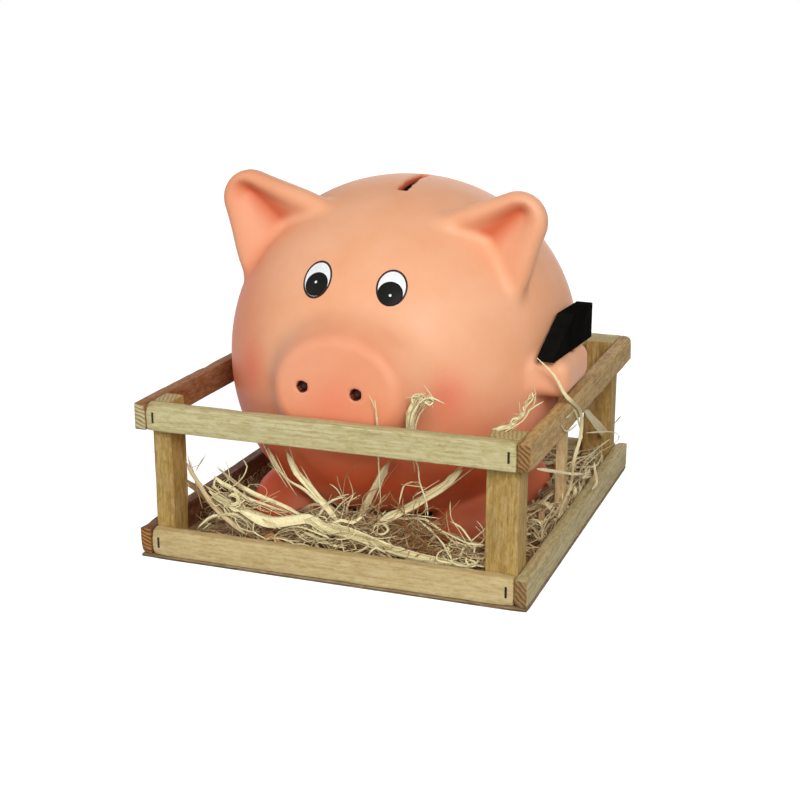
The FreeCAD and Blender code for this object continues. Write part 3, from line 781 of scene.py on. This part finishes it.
def sawn_block(node, axis, seed, material, slot, wear, edge):
    """The block of a CAD node, with uneven faces, soft edges and small nicks."""
    low, high = box_of(node)
    along = "XYZ".index(axis)
    grids = [
        marks(low[n], high[n], EDGE_BAND * edge, GRID_ALONG if n == along else GRID_ACROSS) for n in range(3)
    ]
    sizes = [len(grid) - 1 for grid in grids]
    rng = random.Random(seed)
    nicks = []
    for end in [None] * int(NICKS * wear) + [low] * END_NICKS + [high] * END_NICKS:
        spot = np.array([rng.choice((low[n], high[n])) for n in range(3)])
        if end is None:
            spot[along] = rng.uniform(low[along], high[along])
            nicks.append((spot, rng.uniform(1.5, 4.0), rng.uniform(0.5, 1.3)))
        else:
            spot[along] = end[along]
            nicks.append((spot, rng.uniform(2.0, 4.5), rng.uniform(0.6, 1.8) * wear))
    index, points, worn, faces = {}, [], [], []

    def corner(*key):
        if key in index:
            return index[key]
        spot = np.array([grids[n][key[n]] for n in range(3)])
        radius = edge * (0.75 + 0.7 * abs(uneven(spot, 0.06, seed + 3)))
        for place, size, depth in nicks:
            stretch = (spot - place) / size
            stretch[along] *= NICK_STRETCH
            radius += depth * math.exp(-float(stretch @ stretch))
        radius = min(radius, 0.45 * float((high - low).min()))
        core = np.clip(spot, low + radius, high - radius)
        out = spot - core
        length = float(np.linalg.norm(out))
        if length > 1e-9:
            bulge = 1.0
            for share, scale, shift in DENTS:
                bulge -= share * (0.5 + 0.5 * uneven(spot, scale, seed + shift))
            spot = core + out / length * radius * bulge
        index[key] = len(points)
        points.append(spot)
        worn.append(unit((length / radius - 1.02) * 4 + (radius / edge - 1.4) * 0.5))
        return index[key]

    for side in range(3):
        one, two = (side + 1) % 3, (side + 2) % 3
        for far in (0, sizes[side]):
            for a in range(sizes[one]):
                for b in range(sizes[two]):
                    ring = []
                    for da, db in ((0, 0), (1, 0), (1, 1), (0, 1)):
                        key = [0, 0, 0]
                        key[side], key[one], key[two] = far, a + da, b + db
                        ring.append(corner(*key))
                    faces.append(ring if far else ring[::-1])
    item = new_object(f"wood_{node}", points, faces, [material])
    point_values(item, "worn", worn)
    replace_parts(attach(item, "pen"), node)


# Tones of each wood on screen: pale, darker, growth rings, sawn end and the rings on that end
TONES = {
    "rail": ((211, 201, 153), (191, 179, 125), (152, 133, 82), (172, 134, 78), (102, 70, 38)),
    "bottom_rail_front": ((214, 192, 140), (198, 174, 120), (162, 134, 82), (182, 128, 66), (92, 54, 26)),
    # Painted shade: this rail is browner and darker, standing for the pig's shadow on it and the red light
    # the pig throws back
    "bottom_rail_left": ((132, 86, 46), (104, 64, 30), (76, 44, 20), (182, 128, 66), (92, 54, 26)),
    "bottom_rail_right": ((214, 200, 150), (188, 168, 118), (136, 112, 68), (150, 112, 62), (84, 56, 30)),
    # Painted shade: this rail is browner and darker, standing for the pig's shadow on it and the red light
    # the pig throws back
    "top_rail_left": ((176, 126, 80), (146, 96, 56), (108, 66, 34), (206, 196, 150), (150, 130, 88)),
    "top_rail_right": ((210, 176, 114), (178, 138, 80), (122, 86, 42), (160, 118, 66), (88, 58, 30)),
    "post": ((192, 161, 92), (166, 132, 68), (120, 88, 42), (198, 180, 128), (170, 144, 94)),
    "board": ((166, 144, 104), (136, 110, 74), (98, 70, 42), (146, 120, 80), (70, 48, 28)),
    "stick": ((222, 198, 146), (204, 174, 118), (166, 130, 80), (196, 164, 110), (150, 112, 66)),
}
STAINS = {"rail": 0.3, "top_rail_right": 0.6, "post": 0.6}
SHIFTS = {"rail": (0.013, 0.021, 0.017), "post": (0.019, 0.011, 0.023)}
# Share of the nicks, and radius of the edges
WEAR = {"rail": (1.0, 0.9), "post": (0.6, 0.7), "board": (0.4, 0.4)}
RAIL_SIDES = (("front", "X"), ("back", "X"), ("left", "Y"), ("right", "Y"))
FIRST_SEED = 12
BOARD_SEED = 41


def make_wood():
    plan = [("rail", level, side, axis) for level in ("bottom", "top") for side, axis in RAIL_SIDES]
    plan += [("post", end, side, "Z") for end in ("front", "back") for side in ("left", "right")]
    for seed, (kind, where, side, axis) in enumerate(plan, FIRST_SEED):
        node = f"{where}_rail_{side}" if kind == "rail" else f"post_{where}_{side}"
        shift = tuple(part * seed for part in SHIFTS[kind])
        tones, stained = TONES.get(node, TONES[kind]), STAINS.get(node, STAINS[kind])
        material = wood_material(f"{kind}_wood_{where}_{side}", axis, shift, tones, stained)
        sawn_block(node, axis, seed, material, f"{kind}_wood", *WEAR[kind])
    board = wood_material("board_wood", "X", (0.3, 0.1, 0.2), TONES["board"])
    sawn_block("base_board", "X", BOARD_SEED, board, "board_wood", *WEAR["board"])


def paint_node(node, material):
    """A CAD node that keeps its shape gets this material."""
    data = nodes[node].data
    data.materials.clear()
    data.materials.append(material)


# Straw: split strips and thin fibres, a bed of random ones and the ones that stand out

PEN_HALF = (98.4, 109.4)
POST_LEFT = -87.8
POST_RIGHT = 81.4
POST_INNER_Y = 93.9
POST_TOP = 85.3
KEEP_OFF_SKIN = 1.2
# Upright columns that stay free of straw, for the feet and the handle to lift through, with their radius
COLUMNS = tuple((foot, 26.0) for foot in FEET) + ((HANDLE, 6.0),)
STRAW_FLOOR = 2.4
STRAND_GAP = 3.5
LEFT_SHARE = 0.3
LEFT_THINS = (-48.0, -18.0)
RIGHT_DIP = 0.55
RIGHT_THINS = (18.0, 44.0)
RIGHT_FILLS = (80.0, 92.0)
FLAT_SHARE = 0.82
FIBRES_PER_MM = 2.2
FRAY = 1.6
BROAD = 1.6
BROAD_LANES = (-1.0, -0.6, -0.2, 0.2, 0.6, 1.0)
THIN_LANES = (-1.0, 0.0, 1.0)
SHADE_SWING = 0.16
STREAK_SWING = 0.3
FRAY_SWING = 0.3

# Tangles of short fibres: the pixel where each shows, its spread, depth, count, width and tone
TUFTS = (
    ((414, 533), (16, 8), -101.0, 90, 0.6, 0.9),
    ((372, 527), (20, 7), -101.0, 60, 0.6, 0.75),
    ((455, 554), (12, 4), -104.0, 40, 0.6, 0.7),
    ((340, 532), (22, 7), -103.0, 50, 0.7, 0.25),
    ((245, 515), (18, 9), -101.0, 40, 0.6, 0.3),
    ((229, 498), (7, 5), -99.0, 16, 0.6, 0.1),
    ((468, 558), (12, 4), -106.0, 30, 0.8, 0.1),
)


class Bundle:
    """Strands gathered into one mesh."""

    def __init__(self):
        self.points, self.faces, self.tones = [], [], []

    def strand(self, path, width, tone, rng, twist=0.6, curl=0.25, thick=0.22, flat=None):
        """A strip or fibre along a path, tapered at both ends."""
        path = smooth_path(path)
        count = len(path)
        ways = np.gradient(path, axis=0)
        ways /= np.maximum(np.linalg.norm(ways, axis=1, keepdims=True), 1e-9)
        facing = np.array(flat if flat is not None else (rng.gauss(0, 0.5), rng.gauss(0, 0.5), 1.0), float)
        lanes = BROAD_LANES if width > BROAD else THIN_LANES
        loop = 2 * len(lanes) - 2
        turn, turn_rate = 0.0, rng.gauss(0, twist)
        wobble = rng.uniform(0, 100)
        start = len(self.points)
        for n in range(count):
            way = ways[n]
            facing = facing - way * (facing @ way)
            length = np.linalg.norm(facing)
            facing = facing / length if length > 1e-6 else np.cross(way, (0.3, 0.8, 0.5))
            across = np.cross(way, facing)
            turn += turn_rate / max(count, 2)
            side = across * math.cos(turn) + facing * math.sin(turn)
            normal = np.cross(side, way)
            along = n / (count - 1)
            taper = min(1.0, 0.3 + 6.0 * min(along, 1 - along))
            shade = tone + SHADE_SWING * noise.noise(Vector((wobble, 0, along * 4)))
            for top, row in ((1, lanes), (-1, lanes[-2:0:-1])):
                for lane in row:
                    frayed = 1 + FRAY_SWING * noise.noise(Vector((wobble, along * 7, 4 + lane)))
                    half = 0.5 * width * taper * frayed
                    rise = curl * half * lane * lane + top * 0.5 * thick * (1 - 0.7 * lane * lane)
                    self.points.append(path[n] + side * half * lane + normal * rise)
                    streak = STREAK_SWING * noise.noise(Vector((wobble, 3.7 * lane, along)))
                    self.tones.append(unit(shade + streak))
        for n in range(count - 1):
            a, b = start + n * loop, start + (n + 1) * loop
            for m in range(loop):
                self.faces.append((a + m, a + (m + 1) % loop, b + (m + 1) % loop, b + m))
        last = start + (count - 1) * loop
        self.faces.append(tuple(range(start + loop - 1, start - 1, -1)))
        self.faces.append(tuple(range(last, last + loop)))

    def split_strip(self, path, width, tone, rng, flat):
        """A torn strip: its own blade, and the fibres that come away along it and at its ends."""
        self.strand(keep_clear(path), FLAT_SHARE * width, tone, rng, twist=0.9, curl=0.45, flat=flat)
        count = len(path)
        for _ in range(int(FIBRES_PER_MM * width)):
            ends = sorted((rng.randrange(count), rng.randrange(count)))
            piece = np.array(path[ends[0] : max(ends[1], ends[0] + 1) + 1], float)
            if len(piece) < 2:
                continue
            piece += [rng.gauss(0, 0.3 * width) for _ in range(3)]
            for end, inner in ((0, 1), (-1, -2)):
                piece[end] += 0.25 * (piece[end] - piece[inner]) + [rng.gauss(0, FRAY) for _ in range(3)]
            fibre, shade = rng.uniform(0.4, 0.9), tone + rng.gauss(0.08, 0.12)
            self.strand(keep_clear(piece), fibre, shade, rng, twist=2.0)

    def tuft(self, centre, spread, depth, count, width, tone, seed):
        """A tangle of short curly fibres, placed by where it shows."""
        rng = random.Random(seed)
        paths = []
        for _ in range(count):
            pixel = [rng.gauss(centre[n], spread[n]) for n in range(2)]
            spot = np.array(seen_at(pixel, depth + rng.gauss(0, 2.0)), float)
            heading, rise = rng.uniform(0, 360), rng.gauss(0, 0.35)
            bend = rng.gauss(0, 34)
            path = [spot]
            for _ in range(5):
                heading += bend + rng.gauss(0, 18)
                way = math.radians(heading)
                stride = rng.uniform(2.5, 6.0)
                step_by = np.array((math.cos(way), 0.5 * math.sin(way), rise + 0.4 * math.sin(way)))
                spot = spot + stride * step_by
                path.append(spot)
            paths.append(path)
        clear = keep_clear(np.concatenate(paths))
        for n in range(count):
            size = len(paths[n])
            shade = unit(rng.gauss(tone, 0.15))
            self.strand(clear[n * size : (n + 1) * size], rng.uniform(0.7, 1.3) * width, shade, rng)

    def finish(self, name, material, node):
        """The strands as one piece, in the place of a CAD node."""
        item = new_object(name, self.points, self.faces, [material])
        point_values(item, "tone", self.tones)
        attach(item, "pen")
        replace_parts(item, node)


def smooth_path(path):
    """A curve through the points, with a point every few millimetres."""
    path = np.asarray(path, float)
    ends = np.concatenate([[2 * path[0] - path[1]], path, [2 * path[-1] - path[-2]]])
    out = []
    for n in range(1, len(ends) - 2):
        p0, p1, p2, p3 = ends[n - 1 : n + 3]
        pieces = max(2, int(np.linalg.norm(p2 - p1) / STRAND_GAP))
        for m in range(pieces):
            t = m / pieces
            out.append(
                0.5 * (2 * p1 + (p2 - p0) * t + (2 * p0 - 5 * p1 + 4 * p2 - p3) * t**2
                       + (3 * p1 - p0 - 3 * p2 + p3) * t**3)
            )
    out.append(path[-1])
    return np.array(out)


def keep_clear(path):
    """Move a path's points out of the pig, the wood and the columns that stay free."""
    path = np.array(path, float)
    for _ in range(3):
        value, slope = slope_of(outer_field, path)
        near = np.clip(KEEP_OFF_SKIN - value, 0, 12)
        path += slope * near[:, None]
        for spot, radius in COLUMNS:
            gap = path[:, :2] - spot
            size = np.maximum(np.linalg.norm(gap, axis=1, keepdims=True), 1e-6)
            path[:, :2] += gap / size * np.clip(radius - size, 0, None)
        inside = path[:, 2] < POST_TOP
        path[inside, 0] = np.clip(path[inside, 0], -PEN_HALF[0], PEN_HALF[0])
        path[:, 1] = np.clip(path[:, 1], -PEN_HALF[1], PEN_HALF[1])
        at_end = (np.abs(path[:, 1]) > POST_INNER_Y) & (path[:, 2] < POST_TOP)
        path[at_end, 0] = np.clip(path[at_end, 0], POST_LEFT, POST_RIGHT)
        path[:, 2] = np.maximum(path[:, 2], STRAW_FLOOR)
    return path


def bed_top(x, top):
    """The height of the straw across the pen: little of it lies at the left and by the right foot."""
    share = LEFT_SHARE + (1 - LEFT_SHARE) * float(step(x, *LEFT_THINS))
    share -= RIGHT_DIP * float(step(x, *RIGHT_THINS)) * (1 - float(step(x, *RIGHT_FILLS)))
    return STRAW_FLOOR + (top - STRAW_FLOOR) * share


WIDTHS = ((0.45, 0.95), (1.1, 1.9), (2.4, 3.8))
THIN_SHARE = 0.78
NOT_BROAD = 0.96


def loose_strands(bundle, node, count, seed, along, top):
    """Random strands lying in the stretch of a CAD node."""
    rng = random.Random(seed)
    low, high = box_of(node)
    paths, widths, tones = [], [], []
    while len(paths) < count:
        height = rng.random()
        spot = np.array([rng.uniform(low[0], high[0]), rng.uniform(low[1], high[1]), 0.0])
        here = bed_top(spot[0], top)
        if rng.random() > (here - STRAW_FLOOR) / (top - STRAW_FLOOR):
            continue
        spot[2] = STRAW_FLOOR + (here - STRAW_FLOOR) * height**0.8
        heading = rng.gauss(0, 34) + (0 if along == "X" else 90) + (180 if rng.random() < 0.5 else 0)
        length = rng.uniform(24, 84)
        bend = rng.gauss(0, 26)
        steps = rng.randint(5, 7)
        path = [spot.copy()]
        for _ in range(steps):
            heading += bend + rng.gauss(0, 16)
            stride = length / steps
            way = math.radians(heading)
            spot = spot + np.array((math.cos(way) * stride, math.sin(way) * stride, 0))
            spot[2] = min(bed_top(spot[0], top) + 2, max(STRAW_FLOOR, spot[2] + rng.gauss(0, 3.0)))
            path.append(spot.copy())
        paths.append(np.clip(path, (low[0], low[1], 0), (high[0], high[1], high[2] + top)))
        kind = rng.random()
        thin, middling, broad = (rng.uniform(*sizes) for sizes in WIDTHS)
        widths.append(thin if kind < THIN_SHARE else middling if kind < NOT_BROAD else broad)
        # Painted shade: strands lower in the bed get a darker tone, on top of a random spread of tone
        tones.append(unit(rng.gauss(0.2 + 0.8 * (1 - height) * 0.75, 0.2)))
    clear = keep_clear(np.concatenate(paths))
    start = 0
    for path, width, tone in zip(paths, widths, tones):
        bundle.strand(clear[start : start + len(path)], width, tone, rng)
        start += len(path)


HEAP_INSET = np.array((0.6, 0.6, 0.0))
HEAP_CELL = 3.0
HEAP_LEAST = 0.5
HEAP_UNDER = -0.3


def painted_shade_heap(bundle, node, seed, top):
    """A dark mound under the strands: painted shade that shows between them."""
    low, high = box_of(node)
    low, high = low + HEAP_INSET, high - HEAP_INSET
    cells = [max(3, int((high[n] - low[n]) / HEAP_CELL)) for n in range(2)]
    start = len(bundle.points)
    wide = cells[1] + 1
    for level in (0, 1):
        for i in range(cells[0] + 1):
            for j in range(wide):
                x = low[0] + (high[0] - low[0]) * i / cells[0]
                y = low[1] + (high[1] - low[1]) * j / cells[1]
                rim = min(x - low[0], high[0] - x, y - low[1], high[1] - y)
                lump = uneven((x, y, 0), 0.09, seed) + 0.7 * uneven((x, y, 0), 0.32, seed + 2)
                rise = (bed_top(x, top) - STRAW_FLOOR) * (0.55 + 0.35 * lump) * min(1.0, 0.25 + rim / 4)
                z = STRAW_FLOOR + (max(rise, HEAP_LEAST) if level else HEAP_UNDER)
                bundle.points.append(np.array((x, y, z)))
                # Painted shade: the mound is dark all over
                bundle.tones.append(min(1.0, 0.85 + 0.3 * lump))
    layer = (cells[0] + 1) * wide
    for i in range(cells[0]):
        for j in range(cells[1]):
            a = start + i * wide + j
            bundle.faces.append((a, a + 1, a + wide + 1, a + wide))
            b = a + layer
            bundle.faces.append((b, b + wide, b + wide + 1, b + 1))
    spots = np.arange(start, start + layer).reshape(-1, wide)
    ring = np.concatenate([spots[:, 0], spots[-1, 1:], spots[-2::-1, -1], spots[0, -2:0:-1]]).tolist()
    for a, b in zip(ring, ring[1:] + ring[:1]):
        bundle.faces.append((b, b + layer, a + layer, a))


# Strands that stand out at the front: where they show, from one depth to another, width and tone
FRONT_STRANDS = (
    (((240, 511), (271, 524), (309, 519), (322, 527), (342, 530), (373, 541), (400, 551), (432, 559),
      (465, 564)), -104, -107, 7.2, 0.05),
    (((209, 491), (227, 504), (258, 515), (291, 525), (318, 531)), -98, -101, 4.2, 0.1),
    (((214, 476), (222, 483), (233, 488), (246, 497), (262, 503), (288, 512)), -97, -99, 2.2, 0.0),
    (((224, 474), (240, 486), (262, 497), (283, 506), (300, 515)), -94, -98, 2.6, 0.05),
    (((185, 463), (192, 474), (199, 484), (209, 500), (220, 513), (245, 534)), -96, -104, 3.0, 0.55),
    (((185, 479), (196, 488), (214, 505), (231, 523), (252, 537)), -92, -101, 3.0, 0.75),
    (((196, 471), (200, 464), (204, 457)), -96, -96, 0.8, 0.6),
    (((197, 529), (204, 522), (213, 516), (234, 514), (246, 521), (252, 531)), -104, -100, 1.6, 0.0),
    (((216, 478), (214, 486), (220, 492), (213, 497), (225, 504)), -98, -100, 1.8, 0.0),
    (((228, 497), (236, 494), (238, 502), (230, 507), (242, 512)), -100, -101, 2.4, 0.0),
    (((268, 448), (276, 466), (289, 481), (305, 491), (318, 503)), -92, -99, 3.4, 0.1),
    (((287, 453), (297, 473), (313, 491), (327, 508), (338, 522)), -93, -101, 4.0, 0.15),
    (((388, 464), (381, 478), (372, 494), (362, 514), (356, 528)), -91, -98, 5.0, 0.3),
    (((462, 470), (442, 488), (423, 500), (403, 512), (391, 517), (372, 528)), -93, -101, 5.4, 0.12),
    (((398, 509), (402, 491), (406, 484), (418, 482), (424, 493), (428, 519)), -95, -97, 1.0, 0.05),
    (((409, 436), (412, 450), (418, 466), (419, 478), (421, 486), (427, 505), (428, 520)),
     -105, -97, 0.9, 0.1),
    (((398, 519), (425, 520), (440, 530), (457, 539), (470, 545), (486, 545)), -100, -104, 2.6, 0.02),
    (((415, 517), (430, 530), (444, 545), (448, 557)), -102, -106, 1.0, 0.1),
    (((373, 531), (376, 525), (383, 524), (388, 529), (384, 534), (376, 534), (373, 530)),
     -104, -105, 1.4, 0.1),
    (((345, 515), (349, 503), (354, 494)), -97, -96, 1.0, 0.1),
    (((300, 531), (315, 520), (324, 508), (333, 500), (345, 497)), -100, -98, 1.4, 0.05),
    (((322, 540), (330, 527), (341, 520), (352, 523), (362, 517)), -105, -103, 2.0, 0.05),
    (((297, 540), (306, 533), (318, 538), (332, 545), (346, 548)), -106, -107, 1.8, 0.1),
    (((375, 400), (376, 412), (377, 425), (378, 440), (379, 470), (381, 505)), -108.8, -106, 0.9, 0.05),
    (((408, 437), (408, 424), (409, 412), (413, 403), (419, 396), (422, 393)), -105, -104, 2.6, 0.1),
    (((412, 437), (412, 426), (414, 413), (419, 405), (427, 401), (434, 401)), -104.4, -103, 2.2, 0.2),
    (((410, 436), (411, 420), (416, 408), (423, 400), (430, 398), (434, 402)), -105.4, -105, 1.4, 0.0),
    (((415, 437), (416, 424), (420, 414), (424, 408), (423, 401), (416, 398)), -104, -104.6, 1.2, 0.3),
    (((414, 405), (412, 398), (417, 394), (424, 396), (427, 402)), -105.2, -104.2, 1.8, 0.05),
    (((422, 400), (430, 405), (433, 400), (428, 395)), -104.6, -104, 1.6, 0.1),
    (((400, 441), (420, 438), (448, 440), (470, 447)), -109.3, -109.3, 1.0, 0.2),
    (((506, 431), (510, 427), (521, 416), (527, 406), (534, 398), (532, 392)), -98, -98, 3.6, 0.05),
    (((521, 418), (513, 419), (511, 424), (516, 424)), -98.5, -98.5, 1.6, 0.05),
    (((521, 418), (524, 413), (523, 406)), -98.5, -98.5, 1.2, 0.0),
)

# Strands that stand out at the right: where they show, with the distance across of each point
SIDE_STRANDS = (
    (((584, 411), (594, 422), (602, 431), (606, 437)), (98.0, 97.0, 96.0, 95.0), 5.6, 0.3),
    (((604, 387), (605.5, 404), (605.7, 415), (604, 432)), (94.0, 94.0, 94.5, 95.0), 0.9, 0.25),
    (((537, 469), (559, 472), (572, 474), (584, 474)), (102.6, 102.6, 102.6, 102.6), 1.9, 0.05),
    (((584, 474), (590, 472), (583, 478), (592, 476)), (102.6, 102.8, 103.0, 103.0), 1.6, 0.05),
    (((586, 433), (600, 432), (612, 432), (619, 436), (614, 444), (600, 452), (585, 466)),
     (100.0, 102.0, 105.0, 107.0, 105.5, 104.0, 103.0), 1.0, 0.1),
    (((610, 439), (598, 448), (588, 458), (582, 466)), (103.0, 102.5, 102.0, 101.0), 1.0, 0.2),
    (((614, 424), (621, 416)), (106.6, 106.8), 0.6, 0.7),
    (((594, 462), (595, 472), (597, 482), (592, 490)), (105.5, 106.4, 106.9, 106.9), 1.8, 0.25),
    (((561, 425), (565, 431), (571, 429), (577, 424)), (106.7, 106.4, 106.2, 106.4), 0.9, 0.1),
    (((566, 418), (570, 415), (574, 410), (578, 420), (580, 428)),
     (106.9, 106.9, 106.9, 106.9, 106.6), 1.2, 0.05),
)

# The long strand over the right rail, with the axis and depth of each point: it stands clear of the hammer,
# hangs outside the rail and comes in below it, and splits from one point on
DRAPED = (
    ((537, 358), 1, -50.0), ((554, 375), 1, -48.0), ((564, 393), 1, -45.0), ((571, 401), 0, 106.6),
    ((580, 411), 0, 106.9), ((582, 424), 0, 106.9), ((580, 440), 0, 106.2), ((574, 461), 0, 104.5),
    ((571, 484), 0, 102.0), ((562, 505), 0, 99.5), ((556, 520), 0, 97.0), ((553, 532), 0, 96.0),
)
DRAPED_SPLIT = 3

# The bed of straw: how many strands lie in each stretch, which way, and how high
BED = (
    ("straw_front", 340, "X", 24.0),
    ("straw_middle", 50, "Y", 11.0),
    ("straw_back", 300, "X", 22.0),
    ("straw_left", 90, "Y", 13.0),
    ("straw_right_front", 140, "Y", 26.0),
    ("straw_right_back", 180, "Y", 26.0),
)
HEAP_SHARE = 0.62
HEAP_SEED = 50
BED_SEED = 70
STRIP_SEED = 5
TUFT_SEED = 300
FACING_FRONT = (0.2, -0.7, 0.7)
FACING_RIGHT = (0.9, -0.3, 0.4)


def make_straw():
    material = straw_material()
    for number, (node, count, along, top) in enumerate(BED):
        bundle = Bundle()
        # A dark mound of painted shade under the stretch's strands
        painted_shade_heap(bundle, node, HEAP_SEED + number, HEAP_SHARE * top)
        loose_strands(bundle, node, count, BED_SEED + number, along, top)
        bundle.finish(f"{node}_strands", material, node)
    rng = random.Random(STRIP_SEED)
    bundle = Bundle()
    for pixels, first, last, width, tone in FRONT_STRANDS:
        count = len(pixels) - 1
        path = [seen_at(pixel, first + (last - first) * n / count) for n, pixel in enumerate(pixels)]
        bundle.split_strip(path, width, tone, rng, FACING_FRONT)
    for number, tuft in enumerate(TUFTS):
        bundle.tuft(*tuft, TUFT_SEED + number)
    for pixels, depths, width, tone in SIDE_STRANDS:
        path = [seen_at(pixel, depth, 0) for pixel, depth in zip(pixels, depths)]
        bundle.strand(path, width, tone, rng, twist=0.9, flat=FACING_RIGHT)
    path = np.array([seen_at(pixel, depth, axis) for pixel, axis, depth in DRAPED])
    beside = path[DRAPED_SPLIT:] + [(0.0, 0.5 + 0.25 * n, 0.0) for n in range(len(path) - DRAPED_SPLIT)]
    for strip, width, tone in ((path, 1.9, 0.08), (beside, 0.9, 0.2)):
        bundle.strand(strip, width, tone, rng, twist=2.5, flat=FACING_RIGHT)
    bundle.finish("straw_front_strips", material, "straw_strips")


make_pig()
make_eyes()
make_wood()
make_straw()
paint_node("rail_staples", metal_material())
paint_node("board_staples", metal_material())
paint_node("belly_stopper", rubber_material())
paint_node("hammer_head", black_paint_material())
paint_node("hammer_handle", wood_material("handle_wood", "Z", (0.4, 0.2, 0.1), TONES["stick"]))


# Floor, light and background

view = bpy.context.scene.view_settings
view.view_transform = "Standard"

FLOOR_GREY = (0.42, 0.42, 0.42, 1)
FLOOR_GLOW = 0.9
SKY_LIGHT = 0.23
# Lamps: place, aim, size and power
LAMPS = {
    "key": ((0.8, -1.32, 0.98), (0, 0, 0.1), 0.7, 22.0),
    "fill": ((-1.25, -1.05, 0.6), (0, 0, 0.1), 1.0, 5.0),
    "low_front": ((-0.1, -1.4, 0.1), (0, 0, 0.03), 0.6, 3.2),
    "behind": ((-0.25, 1.5, 0.4), (0, 0, 0.08), 1.0, 4.0),
}


def seen_ray(tree):
    """1 where the background shows to the camera, in a reflection or through glass."""
    path = tree.nodes.new("ShaderNodeLightPath")
    value = path.outputs["Is Camera Ray"]
    for name in ("Is Glossy Ray", "Is Transmission Ray"):
        value = add_node(tree, "ShaderNodeMath", "Value", {0: value, 1: path.outputs[name]}, "MAXIMUM")
    return value


def make_floor():
    bpy.ops.mesh.primitive_circle_add(vertices=64, radius=8.0, fill_type="NGON", location=(0, 0, 0))
    floor = bpy.context.object
    floor.name = "floor"
    material = bpy.data.materials.new("floor_white")
    material.use_nodes = True
    tree = material.node_tree
    tree.nodes.clear()
    strength = add_node(tree, "ShaderNodeMath", "Value", {0: seen_ray(tree), 1: FLOOR_GLOW}, "MULTIPLY")
    glow = add_node(tree, "ShaderNodeEmission", "Emission", {"Strength": strength})
    matt = add_node(tree, "ShaderNodeBsdfDiffuse", "BSDF", {"Color": FLOOR_GREY})
    both = add_node(tree, "ShaderNodeAddShader", "Shader", {0: matt, 1: glow})
    set_inputs(tree, tree.nodes.new("ShaderNodeOutputMaterial"), {"Surface": both})
    floor.data.materials.append(material)


def make_world():
    world = bpy.data.worlds.new("studio")
    bpy.context.scene.world = world
    world.use_nodes = True
    tree = world.node_tree
    shown = {"Value": seen_ray(tree), "To Min": SKY_LIGHT, "To Max": 1.0}
    strength = add_node(tree, "ShaderNodeMapRange", "Result", shown)
    set_inputs(tree, tree.nodes["Background"], {"Color": (1, 1, 1, 1), "Strength": strength})


def make_lamp(name, at, aim, size, power):
    data = bpy.data.lights.new(name, "AREA")
    data.shape = "SQUARE"
    data.size = size
    data.energy = power
    item = bpy.data.objects.new(name, data)
    item.location = at
    item.rotation_euler = (Vector(aim) - Vector(at)).to_track_quat("-Z", "Y").to_euler()
    bpy.context.collection.objects.link(item)


make_floor()
make_world()
for name, lamp in LAMPS.items():
    make_lamp(name, *lamp)
